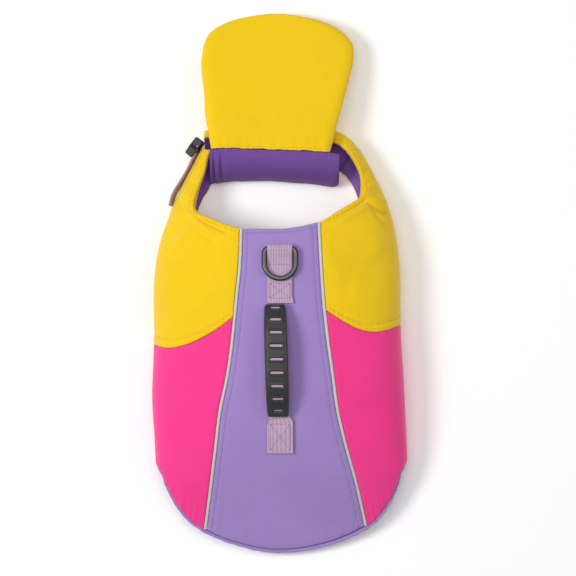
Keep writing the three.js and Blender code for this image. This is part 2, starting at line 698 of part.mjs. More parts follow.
// Chest pad: a padded quarter round, steep at its lower edge and level where the float is hinged
function chestPadSolid() {
  const low = new THREE.SplineCurve(padEdges.map((r) => new THREE.Vector2(r.lowX, r.lowY)));
  const top = new THREE.SplineCurve(padEdges.map((r) => new THREE.Vector2(r.topX, r.topY)));
  const last = padEdges.length - 1;
  const along = [0, 0.35, 0.7, 1, 1.3, 1.65, 2, 2.5, 3, 3.5, 4, 4.5, 5, 5.5, 6, 6.5, 6.85, 7];
  const across = stops(11, 60, [2, 6]);
  const surface = (s, t) => {
    const a = low.getPoint(s);
    const b = top.getPoint(s);
    const turn = (t * Math.PI) / 2;
    const share = 1 - Math.cos(turn);
    return new THREE.Vector3(
      a.x + (b.x - a.x) * share,
      a.y + (b.y - a.y) * share,
      padLowZ + (padTopZ - padLowZ) * Math.sin(turn),
    );
  };
  const normal = (t) => {
    const turn = (t * Math.PI) / 2;
    return new THREE.Vector3(0, -Math.cos(turn), Math.sin(turn) * 0.8).normalize();
  };
  const fold = (row, middle, width) => Math.exp(-(((row - middle) / width) ** 2));
  const upright = (row) => fold(row, 0.7, 0.28) + 0.7 * fold(row, 1.65, 0.3);
  const layer = (outer) =>
    along.map((row) =>
      across.map((t) => {
        const s = row / last;
        const dip = Math.max(
          edgeDip(t * 60, 2.6),
          edgeDip((1 - t) * 60, 1.4),
          edgeDip((1 - s) * 134, 2.6, 6),
          edgeDip(s * 134, 1.6, 5),
        );
        const sunk = padFoldDepth * upright(row) * Math.sin(t * Math.PI);
        const height = outer ? -dip - sunk : dip * 0.7 - padWall;
        return surface(s, t).addScaledVector(normal(t), height);
      }),
    );
  return wall(layer(true), layer(false));
}
add("chest_pad", chestPadSolid(), colours.lining);

// Height on the picture plane of the pad's upper edge at x
function padTopAt(x) {
  const k = Math.max(1, padEdges.findIndex((row) => row.topX >= x));
  const [a, b] = [padEdges[k - 1], padEdges[k]];
  return a.topY + ((b.topY - a.topY) * (x - a.topX)) / (b.topX - a.topX);
}

// Chin float: a foam paddle hinged by its cover to the chest pad's upper edge
function chinFloatSolid() {
  const hingeY = (x) => padTopAt(x) + seamGap + 0.1;
  const rows = floatOutline.map((r) => ({
    left: new THREE.Vector2(r.left, r.rear ? hingeY(r.left) : r.y),
    right: new THREE.Vector2(r.right, r.rear ? hingeY(r.right) : r.y),
  }));
  const left = new THREE.SplineCurve(rows.map((r) => r.left));
  const right = new THREE.SplineCurve(rows.map((r) => r.right));
  const along = stops(18, 142, [2.5, 7]);
  const across = stops(13, 140, [3, 9]);
  const layer = (up) =>
    along.map((t) => {
      const a = left.getPointAt(t);
      const b = right.getPointAt(t);
      const width = a.distanceTo(b);
      return across.map((s) => {
        const at = a.clone().lerp(b, s);
        at.y += (hingeY(at.x) - at.y) * Math.max(0, 1 - t / 0.09) ** 2;
        const dip = Math.max(
          edgeDip(s * width, floatThick / 2 - 1.4, 11),
          edgeDip((1 - s) * width, floatThick / 2 - 1.4, 11),
          edgeDip(t * 142, floatThick / 2 - 3, 7),
          edgeDip((1 - t) * 142, floatThick / 2 - 1.4, 11),
        );
        const middle = floatHeight - floatFall * (at.y - 133);
        return new THREE.Vector3(at.x, at.y, middle + up * (floatThick / 2 - dip));
      });
    });
  return wall(layer(1), layer(-1));
}
add("chin_float", chinFloatSolid(), colours.yellow);

// Belly wings: two thin flaps that lap over each other under the belly. Each is pressed up where
// a belt or its buckle lies between it and the floor.
const wingReach = 22; // how far a wing passes the middle
function ramp(distance, full, end) {
  return 1 - THREE.MathUtils.smoothstep(distance, full, end);
}
function pressedUp(x, y) {
  let height = 0;
  for (const belt of belts) {
    const onBelt = ramp(Math.abs(y - belt.y), beltBuckle.halfWidth + 0.5, beltBuckle.halfWidth + 7);
    const onBuckle = ramp(Math.abs(x - beltBuckle.x), beltBuckle.halfLength + 0.5, beltBuckle.halfLength + 7);
    height += onBelt * (webbingThick + 0.4 + onBuckle * (beltBuckle.thick - webbingThick));
  }
  return height;
}
function wing(side, frontY, backY, lifted) {
  const sign = side === "left" ? -1 : 1;
  const inner = beltBuckle.halfWidth + 0.5;
  const outer = beltBuckle.halfWidth + 7;
  const beltRows = belts.flatMap((belt) => [outer, inner, 0, -inner, -outer].map((away) => belt.y + away));
  const ys = [frontY, frontY - 2.5, frontY - 8, ...beltRows, -70, backY + 8, backY + 2.5, backY];
  ys.sort((a, b) => b - a);
  const past = beltBuckle.halfLength;
  const lumps = [-past - 7, -past - 0.5, past + 0.5, past + 7].map((away) => beltBuckle.x + away);
  const edgeX = bellySeamX - seamGap - seamLean;
  const xs = [-edgeX, -edgeX + 2.5, -edgeX + 8, -62, ...lumps, 36, 50, 66, edgeX - 8, edgeX - 2.5, edgeX];
  const kept = xs.filter((x) => sign * x > -wingReach + 8.5);
  kept.push(-sign * wingReach, -sign * (wingReach - 2.5), -sign * (wingReach - 8));
  kept.sort((a, b) => a - b);
  const dipAt = (x, y) =>
    Math.max(
      edgeDip(frontY - y, 1.4),
      edgeDip(y - backY, 1.4),
      edgeDip(edgeX - sign * x, 0.8),
      edgeDip(sign * x + wingReach, 1.4),
    );
  const lap = (x) => lifted * (1 - THREE.MathUtils.smoothstep(sign * x, wingReach + 0.5, wingReach + 30));
  const layer = (inside) =>
    ys.map((y) =>
      kept.map((x) => {
        const floor = Math.abs(x) < 40 ? 0 : formPoint(girthOf(x, y, true), y).z;
        const layerZ = inside ? wingWall - dipAt(x, y) * 0.7 : dipAt(x, y) * 0.6;
        const z = floor + pressedUp(x, y) + lap(x) + layerZ;
        return new THREE.Vector3(x, y, z);
      }),
    );
  return wall(layer(true), layer(false));
}
add("wing_left", wing("left", wingFrontY, wingBackY, 0), colours.pink);
add("wing_right", wing("right", wingFrontY, wingBackY, wingWall + 0.6), colours.pink);

// Rounded outline of a buckle half seen from its broad side: X along the strap, Y across
function roundedBox(length, width, radius) {
  const shape = new THREE.Shape();
  const x = length / 2;
  const y = width / 2;
  shape.moveTo(-x + radius, -y);
  shape.lineTo(x - radius, -y);
  shape.absarc(x - radius, -y + radius, radius, -Math.PI / 2, 0);
  shape.lineTo(x, y - radius);
  shape.absarc(x - radius, y - radius, radius, 0, Math.PI / 2);
  shape.lineTo(-x + radius, y);
  shape.absarc(-x + radius, y - radius, radius, Math.PI / 2, Math.PI);
  shape.lineTo(-x, -y + radius);
  shape.absarc(-x + radius, -y + radius, radius, Math.PI, Math.PI * 1.5);
  return shape;
}
function buckleHalf(length, width, thick, slotEnd) {
  const shape = roundedBox(length, width, 2.5);
  const slot = new THREE.Path();
  const slotX = slotEnd * (length / 2 - 4.5);
  const slotHalf = width / 2 - 4;
  slot.moveTo(slotX - 1.5, -slotHalf);
  slot.lineTo(slotX - 1.5, slotHalf);
  slot.lineTo(slotX + 1.5, slotHalf);
  slot.lineTo(slotX + 1.5, -slotHalf);
  slot.closePath();
  shape.holes.push(slot);
  const bevel = 0.8;
  const geometry = new THREE.ExtrudeGeometry(shape, {
    depth: thick - 2 * bevel,
    bevelThickness: bevel,
    bevelSize: bevel,
    bevelOffset: -bevel,
    bevelSegments: 1,
    curveSegments: 3,
  });
  geometry.translate(0, 0, bevel);
  return geometry;
}

// Belly belts: webbing sewn to each wing and a fastened side-release buckle between
for (const belt of belts) {
  const { x, halfLength, halfWidth, thick } = beltBuckle;
  const split = 0.1 * halfLength;
  const socket = buckleHalf(halfLength + split - seamGap / 2, 2 * halfWidth, thick, -1);
  socket.translate(x - (halfLength - split) / 2 - seamGap / 4, belt.y, 0);
  add(`belt_socket_${belt.name}`, socket, colours.black, 0.4);
  const plug = buckleHalf(halfLength - split - seamGap / 2, 2 * halfWidth - 4, thick, 1);
  plug.translate(x + (halfLength + split) / 2 + seamGap / 4, belt.y, 0);
  add(`belt_plug_${belt.name}`, plug, colours.black, 0.4);
  for (const [name, from, to] of [
    ["left", -beltReach, x - halfLength - seamGap],
    ["right", x + halfLength + seamGap, beltReach],
  ]) {
    const strip = new THREE.BoxGeometry(to - from, webbingWidth, webbingThick);
    strip.translate((from + to) / 2, belt.y, webbingThick / 2 + 0.05);
    add(`belt_${name}_${belt.name}`, strip, colours.webbing);
  }
}

// Height of the back's outer surface under a point seen from above
const backHeight = (x, y) => formPoint(girthOf(x, y), y).z;

// Ring webbing: one strap folded round the ring's straight bar and sewn down behind it
const ringBarY = 34;
const ringBore = ringWire / 2 + 0.4; // room for the bar inside the fold
const strapCentreX = -0.2;
const ringWebbingEndY = -20;
const ringBarZ = backHeight(0, ringBarY) + seamGap + webbingThick + ringBore;
function ringWebbingSolid() {
  const under = (y) => backHeight(strapCentreX, y) + seamGap;
  const doubled = 2 * webbingThick;
  const outer = ringBore + webbingThick;
  const points = [];
  for (let y = ringWebbingEndY; y < ringBarY - 1; y += 9) points.push([y, under(y)]);
  const arcSteps = 8;
  for (let k = 0; k <= arcSteps; k++) {
    const turn = -Math.PI / 2 + (Math.PI * 1.15 * k) / arcSteps;
    points.push([ringBarY + outer * Math.cos(turn), ringBarZ + outer * Math.sin(turn)]);
  }
  const upperRows = [22, 18, 9, 0, -9, ringWebbingEndY];
  for (const y of upperRows) points.push([y, under(y) + doubled + (y > 20 ? 1.6 : 0)]);
  const shape = new THREE.Shape(points.map(([y, z]) => new THREE.Vector2(y, z)));
  const bore = new THREE.Path();
  bore.absarc(ringBarY, ringBarZ, ringBore, 0, Math.PI * 2, true);
  shape.holes.push(bore);
  const drawn = { depth: webbingWidth, bevelEnabled: false, curveSegments: 6 };
  const geometry = new THREE.ExtrudeGeometry(shape, drawn);
  // The shape's plane is Y and Z, and it is drawn out along X
  const axes = [[0, 1, 0], [0, 0, 1], [1, 0, 0]].map((axis) => new THREE.Vector3(...axis));
  geometry.applyMatrix4(new THREE.Matrix4().makeBasis(...axes));
  geometry.translate(strapCentreX - webbingWidth / 2, 0, 0);
  return geometry;
}
add("ring_webbing", ringWebbingSolid(), colours.webbing);

// D-ring: a straight bar, two short arms and a half round, lying back on its webbing
const ringFarY = 2; // outer end of the half round
function dRingSolid() {
  const half = (ringWidth - ringWire) / 2;
  const far = ringFarY + ringWire / 2;
  const corner = 3;
  const path = [];
  for (let k = 0; k <= 12; k++) {
    const turn = Math.PI + (Math.PI * k) / 12;
    path.push([half * Math.cos(turn), far + half + half * Math.sin(turn)]);
  }
  path.push([half, ringBarY - corner], [half - 0.9, ringBarY - 0.9], [half - corner, ringBarY]);
  path.push([-half + corner, ringBarY], [-half + 0.9, ringBarY - 0.9], [-half, ringBarY - corner]);
  const restZ = backHeight(0, far) + 1 + 2 * webbingThick + ringWire / 2;
  const rise = (restZ - ringBarZ) / (ringBarY - far);
  const centre = path.map(([x, y]) => new THREE.Vector3(x, y, ringBarZ + rise * (ringBarY - y)));
  const lift = new THREE.Vector3(0, rise, 1).normalize();
  const sides = 8;
  const rings = centre.map((point, k) => {
    const ahead = centre[(k + 1) % centre.length].clone().sub(centre.at(k - 1)).normalize();
    const outward = new THREE.Vector3().crossVectors(ahead, lift).normalize();
    return Array.from({ length: sides }, (_, j) => {
      const turn = (2 * Math.PI * (j + 0.5)) / sides;
      return point
        .clone()
        .addScaledVector(outward, (Math.cos(turn) * ringWire) / 2)
        .addScaledVector(lift, (Math.sin(turn) * ringWire) / 2);
    });
  });
  return skin(rings, true);
}
add("d_ring", dRingSolid(), colours.ring, 0.45, 0.6);

// Handle: webbing that rises from the ring webbing's end in an arch and is sewn down again behind,
// with a slotted rubber grip round the arch
const gripFrontY = -22.6;
const gripBackY = -130.4;
const patchEndY = -168.6;
const gripCentreX = (y) => -4.9 + (3.1 * (gripFrontY - y)) / (gripFrontY - gripBackY);
function gripCentre(y) {
  const middle = (gripFrontY + gripBackY) / 2;
  const half = (gripFrontY - gripBackY) / 2;
  const arch = gripLift * (1 - Math.abs((y - middle) / half) ** 2.8);
  return backHeight(gripCentreX(y), y) + gripThick / 2 + 0.7 + arch;
}
const gripRows = 15;
const gripLine = Array.from({ length: gripRows }, (_, k) => {
  const y = gripFrontY + ((gripBackY - gripFrontY) * k) / (gripRows - 1);
  return new THREE.Vector3(gripCentreX(y), y, gripCentre(y));
});
// The same line drawn on past both ends of the grip
function gripLineWith(extra) {
  const past = (end, next) => end.clone().add(end.clone().sub(next).setLength(extra));
  return [past(gripLine[0], gripLine[1]), ...gripLine, past(gripLine.at(-1), gripLine.at(-2))];
}

// Rings of a rounded bar along points in a plane of constant X direction
function barRings(points, widthAt, thickAt, roundness) {
  return points.map((point, k) => {
    const next = points[Math.min(k + 1, points.length - 1)];
    const ahead = next.clone().sub(points[Math.max(k - 1, 0)]).normalize();
    const across = new THREE.Vector3(1, 0, 0);
    const up = new THREE.Vector3().crossVectors(ahead, across).normalize();
    if (up.z < 0) up.negate();
    return roundness.map(([x, z]) =>
      point
        .clone()
        .addScaledVector(across, (x * widthAt(k)) / 2)
        .addScaledVector(up, (z * thickAt(k)) / 2),
    );
  });
}
const squareSection = [[-1, -1], [1, -1], [1, 1], [-1, 1]];
const gripSection = [
  [-1, -0.35], [-0.8, -1], [0.8, -1], [1, -0.35], [1, 0.35],
  [0.8, 0.9], [0.3, 1], [-0.3, 1], [-0.8, 0.9], [-1, 0.35],
];

const wasm = await Module();
wasm.setup();
function toSolid(geometry) {
  const bare = geometry.clone();
  bare.deleteAttribute("normal");
  bare.deleteAttribute("uv");
  const merged = mergeVertices(bare, 1e-4);
  const vertProperties = merged.attributes.position.array;
  const triVerts = new Uint32Array(merged.index.array);
  return new wasm.Manifold(new wasm.Mesh({ numProp: 3, vertProperties, triVerts }));
}
function toGeometry(body) {
  const mesh = body.getMesh();
  const geometry = new THREE.BufferGeometry();
  geometry.setAttribute("position", new THREE.BufferAttribute(new Float32Array(mesh.vertProperties), 3));
  geometry.setIndex(Array.from(mesh.triVerts));
  return geometry;
}

const strapInGrip = 16; // the webbing is drawn narrower inside the grip
const strapInGripThick = 2.2;
const slotCount = 9;
const slotWide = 3; // along the grip
function gripSolid() {
  const line = gripLine;
  const last = line.length - 1;
  const width = (k) => gripWidth - 2.6 * Math.abs((2 * k) / last - 1) ** 4;
  const body = toSolid(skin(barRings(line, width, () => gripThick, gripSection)));
  const boreWidth = strapInGrip + 0.8;
  const boreThick = strapInGripThick + 0.8;
  const bore = toSolid(skin(barRings(gripLineWith(3), () => boreWidth, () => boreThick, squareSection)));
  let made = body.subtract(bore);
  const curve = new THREE.CatmullRomCurve3(line);
  for (let k = 0; k < slotCount; k++) {
    const share = 0.055 + (0.89 * k) / (slotCount - 1);
    const at = curve.getPointAt(share);
    const ahead = curve.getTangentAt(share);
    const nearEnd = Math.abs((2 * k) / (slotCount - 1) - 1);
    const slot = new THREE.BoxGeometry(14.5 - 4 * nearEnd ** 2, slotWide, gripThick);
    slot.rotateX(Math.atan2(-ahead.z, -ahead.y));
    const up = new THREE.Vector3(0, ahead.z, -ahead.y);
    if (up.z < 0) up.negate();
    at.addScaledVector(up, gripThick / 2);
    slot.translate(at.x, at.y, at.z);
    made = made.subtract(toSolid(slot));
  }
  return toGeometry(made);
}
add("handle_grip", gripSolid(), colours.black, 0.55);

function handleWebbingSolid() {
  const onBack = (x, y, lift) => new THREE.Vector3(x, y, backHeight(x, y) + lift);
  const rows = [
    { at: onBack(-4.9, -20.7, 2.6), width: strapInGrip, thick: 1 },
    ...gripLineWith(1).map((at) => ({ at, width: strapInGrip, thick: strapInGripThick })),
    { at: onBack(-0.9, -135, 2.8), width: 23, thick: 2.4 },
    { at: onBack(0.2, -139, 1.9), width: 25.8, thick: 2.8 },
    { at: onBack(0.3, -152, 1.9), width: 26, thick: 2.8 },
    { at: onBack(0.3, patchEndY, 1.9), width: 26, thick: 2.8 },
  ];
  return skin(barRings(rows.map((r) => r.at), (k) => rows[k].width, (k) => rows[k].thick, squareSection));
}
add("handle_webbing", handleWebbingSolid(), colours.webbing);

// Neck webbing: stands on edge along the outside of the left arm, to the neck buckle
function neckWebbingSolid() {
  const line = new THREE.SplineCurve(neckWebbing.map((r) => new THREE.Vector2(r.x, r.y)));
  const rings = Array.from({ length: 12 }, (_, k) => {
    const at = line.getPointAt(k / 11);
    const ahead = line.getTangentAt(k / 11);
    const side = new THREE.Vector2(-ahead.y, ahead.x).multiplyScalar(webbingThick / 2);
    const top = neckWebbingLow + neckWebbingWidth;
    return [
      new THREE.Vector3(at.x - side.x, at.y - side.y, neckWebbingLow),
      new THREE.Vector3(at.x + side.x, at.y + side.y, neckWebbingLow),
      new THREE.Vector3(at.x + side.x, at.y + side.y, top),
      new THREE.Vector3(at.x - side.x, at.y - side.y, top),
    ];
  });
  return skin(rings);
}
add("neck_webbing", neckWebbingSolid(), colours.webbing);

// Neck buckle: a small side-release buckle, standing on edge between arm and front band
const neckBuckle = { length: 20, width: 20, thick: 7, centreX: -85.4, centreY: 135.6, centreZ: 20, tilt: 84 };
function placeNeckBuckle(geometry, alongShift) {
  const heading = Math.atan2(-0.8, -0.6);
  const along = new THREE.Vector3(Math.cos(heading), Math.sin(heading), 0);
  const tilt = THREE.MathUtils.degToRad(neckBuckle.tilt);
  const out = new THREE.Vector3(along.y, -along.x, 0);
  const across = out.clone().multiplyScalar(Math.cos(tilt)).add(new THREE.Vector3(0, 0, Math.sin(tilt)));
  const through = new THREE.Vector3().crossVectors(along, across);
  const { centreX, centreY, centreZ, thick } = neckBuckle;
  geometry.translate(alongShift, 0, -thick / 2);
  geometry.applyMatrix4(new THREE.Matrix4().makeBasis(along, across, through));
  geometry.translate(centreX, centreY, centreZ);
  return geometry;
}
const socketShare = 0.58;
const socketLength = neckBuckle.length * socketShare;
const plugLength = neckBuckle.length * (1 - socketShare);
const neckSocket = buckleHalf(socketLength - seamGap, neckBuckle.width, neckBuckle.thick, 1);
const neckPlug = buckleHalf(plugLength, neckBuckle.width - 3, neckBuckle.thick, -1);
add("neck_socket", placeNeckBuckle(neckSocket, plugLength / 2), colours.black, 0.4);
add("neck_plug", placeNeckBuckle(neckPlug, -socketLength / 2), colours.black, 0.4);

export default root;
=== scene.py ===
import bpy
import numpy as np
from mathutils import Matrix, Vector


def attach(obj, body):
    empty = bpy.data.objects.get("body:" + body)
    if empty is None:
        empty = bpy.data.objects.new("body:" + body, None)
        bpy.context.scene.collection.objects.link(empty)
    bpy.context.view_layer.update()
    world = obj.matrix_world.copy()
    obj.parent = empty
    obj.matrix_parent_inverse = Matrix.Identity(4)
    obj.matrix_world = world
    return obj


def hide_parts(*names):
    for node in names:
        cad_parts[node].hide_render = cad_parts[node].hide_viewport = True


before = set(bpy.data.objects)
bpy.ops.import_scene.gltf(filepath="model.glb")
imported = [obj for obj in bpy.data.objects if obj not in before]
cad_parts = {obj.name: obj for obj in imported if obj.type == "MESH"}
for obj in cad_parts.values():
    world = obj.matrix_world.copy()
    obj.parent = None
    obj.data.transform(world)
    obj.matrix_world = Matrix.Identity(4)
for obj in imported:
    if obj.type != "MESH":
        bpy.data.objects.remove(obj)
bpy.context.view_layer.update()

# The jacket is drawn in millimetres, like the paper pattern of a garment. putMesh turns it to metres.
mm = 0.001

# View and light

view = {
    "photoMm": 576,  # one pixel of the photo is one millimetre
    "centre": (8, -5),  # what the middle of the picture looks at
    "height": 4000,  # far away, as with a long lens
    "level": 30,  # the level where the picture's scale is true
    "sensor": 36,
    "farthest": 50,  # metres, the end of what the camera shows
    "skyStrength": 0.24,
}
cameraData = bpy.data.cameras.new("camera")
cameraData.sensor_width = view["sensor"]
cameraData.lens = view["sensor"] * (view["height"] - view["level"]) / view["photoMm"]
cameraData.clip_end = view["farthest"]
camera = bpy.data.objects.new("camera", cameraData)
camera.location = (view["centre"][0] * mm, view["centre"][1] * mm, view["height"] * mm)
bpy.context.scene.collection.objects.link(camera)
bpy.context.scene.camera = camera
bpy.context.scene.view_settings.view_transform = "Standard"

lamps = [
    # name, place in metres, size, power in watts
    ("keyLight", (-1.75, 0.1, 2.3), 1.0, 42),
    ("fillLight", (1.8, 0.2, 1.9), 1.8, 7),
    ("topLight", (-0.1, 0.5, 2.8), 1.8, 24),
]
for name, place, size, power in lamps:
    lampData = bpy.data.lights.new(name, "AREA")
    lampData.shape = "DISK"
    lampData.size = size
    lampData.energy = power
    lamp = bpy.data.objects.new(name, lampData)
    lamp.location = place
    lamp.rotation_euler = (-Vector(place)).to_track_quat("-Z", "Y").to_euler()
    bpy.context.scene.collection.objects.link(lamp)
world = bpy.data.worlds.new("studio")
world.use_nodes = True
sky = world.node_tree.nodes["Background"]
sky.inputs["Color"].default_value = (1, 1, 1, 1)
sky.inputs["Strength"].default_value = view["skyStrength"]
bpy.context.scene.world = world
print("view and light are set")


# Materials

# sRGB hex to linear red, green and blue
def linear(hexColour):
    parts = np.array([int(hexColour[i:i + 2], 16) / 255 for i in (1, 3, 5)])
    low = parts / 12.92
    high = ((parts + 0.055) / 1.055) ** 2.4
    return (*np.where(parts <= 0.04045, low, high), 1.0)


# One node with its settings; a link is (socket name, output socket of another node)
def addNode(tree, kind, settings=(), inputs=(), links=()):
    node = tree.nodes.new(kind)
    for key, value in dict(settings).items():
        setattr(node, key, value)
    for key, value in dict(inputs).items():
        node.inputs[key].default_value = value
    for key, output in dict(links).items():
        tree.links.new(output, node.inputs[key])
    return node


# A material with its node tree and its main shader
def newMaterial(name):
    material = bpy.data.materials.new(name)
    material.use_nodes = True
    return material, material.node_tree, material.node_tree.nodes["Principled BSDF"]


# Period in metres of a Wave texture's bands is this number over its scale
waveTurn = 0.31416


# Base colour times two noises: one drifts softly at dye scale, the other flecks at thread scale
def dyed(tree, coordinates, hexColour, drift, fleck, driftMm=71.4, fleckMm=1.11):
    soft = addNode(tree, "ShaderNodeTexNoise", {"noise_dimensions": "3D"},
                   {"Scale": 1 / (driftMm * mm), "Detail": 2.0}, {"Vector": coordinates})
    fine = addNode(tree, "ShaderNodeTexNoise", {}, {"Scale": 1 / (fleckMm * mm), "Detail": 1.0},
                   {"Vector": coordinates})
    value = addNode(tree, "ShaderNodeMapRange", {},
                    {"From Min": 0.3, "From Max": 0.7, "To Min": 1 - drift, "To Max": 1 + drift},
                    {"Value": soft.outputs["Fac"]})
    grain = addNode(tree, "ShaderNodeMapRange", {},
                    {"From Min": 0.3, "From Max": 0.7, "To Min": 1 - fleck, "To Max": 1 + fleck},
                    {"Value": fine.outputs["Fac"]})
    both = addNode(tree, "ShaderNodeMath", {"operation": "MULTIPLY"}, {},
                   {0: value.outputs["Result"], 1: grain.outputs["Result"]})
    return addNode(tree, "ShaderNodeHueSaturation", {}, {"Color": linear(hexColour)},
                   {"Value": both.outputs["Value"]}).outputs["Color"]


# Woven polyester over foam: matt, with a plain weave and the faint crumple that sewn cloth keeps.
# The threads are 0.45 mm apart on the real cloth; they are drawn at 1.1 mm, as coarse as shows.
def wovenCloth(name, hexColour, threadMm=1.1, weaveDepth=0.09, crumpleDepth=0.5, crumpleMm=14.3,
               roughness=0.82, sheen=0.25, drift=0.03, fleck=0.035):
    material, tree, shader = newMaterial(name)
    place = addNode(tree, "ShaderNodeUVMap", {"uv_map": "cloth"}).outputs["UV"]
    colour = dyed(tree, place, hexColour, drift, fleck)
    tree.links.new(colour, shader.inputs["Base Color"])
    thread = {"Scale": waveTurn / (threadMm * mm), "Distortion": 0.6, "Detail Scale": 0.4}
    warp = addNode(tree, "ShaderNodeTexWave", {"bands_direction": "X"}, thread, {"Vector": place})
    weft = addNode(tree, "ShaderNodeTexWave", {"bands_direction": "Y"}, thread, {"Vector": place})
    weave = addNode(tree, "ShaderNodeMath", {"operation": "ADD"}, {},
                    {0: warp.outputs["Fac"], 1: weft.outputs["Fac"]})
    crumple = addNode(tree, "ShaderNodeTexNoise", {},
                      {"Scale": 1 / (crumpleMm * mm), "Detail": 3.0, "Roughness": 0.55}, {"Vector": place})
    crumpleBump = addNode(tree, "ShaderNodeBump", {}, {"Strength": crumpleDepth, "Distance": 1.2 * mm},
                          {"Height": crumple.outputs["Fac"]})
    weaveBump = addNode(tree, "ShaderNodeBump", {}, {"Strength": weaveDepth, "Distance": 0.6 * mm},
                        {"Height": weave.outputs["Value"], "Normal": crumpleBump.outputs["Normal"]})
    tree.links.new(weaveBump.outputs["Normal"], shader.inputs["Normal"])
    shader.inputs["Roughness"].default_value = roughness
    shader.inputs["Sheen Weight"].default_value = sheen
    shader.inputs["Sheen Roughness"].default_value = 0.5
    shader.inputs["Specular IOR Level"].default_value = 0.25
    return material


# Polyester webbing: woven ribs along its length, cross threads between, slightly glossy yarn
def webbingCloth(name, hexColour, ribMm=2.6, pickMm=1.3):
    material, tree, shader = newMaterial(name)
    place = addNode(tree, "ShaderNodeUVMap", {"uv_map": "cloth"}).outputs["UV"]
    ribs = addNode(tree, "ShaderNodeTexWave", {"bands_direction": "X", "wave_profile": "SIN"},
                   {"Scale": waveTurn / (ribMm * mm)}, {"Vector": place})
    picks = addNode(tree, "ShaderNodeTexWave", {"bands_direction": "Y"},
                    {"Scale": waveTurn / (pickMm * mm), "Distortion": 0.5}, {"Vector": place})
    colour = dyed(tree, place, hexColour, 0.05, 0.09, 16.7, 1.43)
    # The ribs' grooves are painted darker and their crowns lighter, following the rib bump: painted shade and
    # light
    ribPaintedShade = addNode(tree, "ShaderNodeMapRange", {}, {"To Min": 0.84, "To Max": 1.08},
                    {"Value": ribs.outputs["Fac"]})
    mixed = addNode(tree, "ShaderNodeHueSaturation", {}, {},
                    {"Color": colour, "Value": ribPaintedShade.outputs["Result"]})
    tree.links.new(mixed.outputs["Color"], shader.inputs["Base Color"])
    both = addNode(tree, "ShaderNodeMath", {"operation": "MULTIPLY_ADD"}, {1: 0.4},
                   {0: picks.outputs["Fac"], 2: ribs.outputs["Fac"]})
    bump = addNode(tree, "ShaderNodeBump", {}, {"Strength": 0.5, "Distance": 0.6 * mm},
                   {"Height": both.outputs["Value"]})
    tree.links.new(bump.outputs["Normal"], shader.inputs["Normal"])
    shader.inputs["Roughness"].default_value = 0.62
    shader.inputs["Sheen Weight"].default_value = 0.2
    return material


# Hard parts: a base colour with fine moulding grain in colour, roughness and bump
def moulded(name, hexColour, roughness, grainMm=0.5, grainDepth=0.15, metallic=0.0, speck=0.06, coat=0.0):
    material, tree, shader = newMaterial(name)
    place = addNode(tree, "ShaderNodeTexCoord").outputs["Object"]
    colour = dyed(tree, place, hexColour, speck, speck, 25, grainMm)
    tree.links.new(colour, shader.inputs["Base Color"])
    grain = addNode(tree, "ShaderNodeTexNoise", {}, {"Scale": 1 / (grainMm * mm), "Detail": 2.0},
                    {"Vector": place})
    rough = addNode(tree, "ShaderNodeMapRange", {}, {"To Min": roughness - 0.08, "To Max": roughness + 0.08},
                    {"Value": grain.outputs["Fac"]})
    bump = addNode(tree, "ShaderNodeBump", {}, {"Strength": grainDepth, "Distance": 0.2 * mm},
                   {"Height": grain.outputs["Fac"]})
    tree.links.new(rough.outputs["Result"], shader.inputs["Roughness"])
    tree.links.new(bump.outputs["Normal"], shader.inputs["Normal"])
    shader.inputs["Metallic"].default_value = metallic
    shader.inputs["Coat Weight"].default_value = coat
    return material


# Coated ring steel: black, with a grey band painted along the wire's top as a highlight.
# U runs round the wire, and the highlight band lies at a quarter of its girth.
def ringSteel(name, highlightHex, edgeHex, girthMm, highlightMm):
    material = moulded(name, highlightHex, 0.36, grainMm=0.9, grainDepth=0.06, metallic=0.35, coat=0.25)
    tree = material.node_tree
    shader = tree.nodes["Principled BSDF"]
    face = shader.inputs["Base Color"].links[0].from_socket
    place = addNode(tree, "ShaderNodeUVMap", {"uv_map": "cloth"}).outputs["UV"]
    across = addNode(tree, "ShaderNodeSeparateXYZ", {}, {}, {"Vector": place}).outputs["X"]
    offset = addNode(tree, "ShaderNodeMath", {"operation": "SUBTRACT"}, {1: girthMm / 4 * mm}, {0: across})
    away = addNode(tree, "ShaderNodeMath", {"operation": "ABSOLUTE"}, {}, {0: offset.outputs["Value"]})
    edge = addNode(tree, "ShaderNodeMapRange", {},
                   {"From Min": highlightMm / 2 * mm, "From Max": (highlightMm / 2 + 0.5) * mm},
                   {"Value": away.outputs["Value"]})
    # The grey band is painted highlight on the wire's top; past its edges the wire is black
    mixed = addNode(tree, "ShaderNodeMix", {"data_type": "RGBA"}, {7: linear(edgeHex)},
                    {0: edge.outputs["Result"], 6: face})
    tree.links.new(mixed.outputs[2], shader.inputs["Base Color"])
    return material


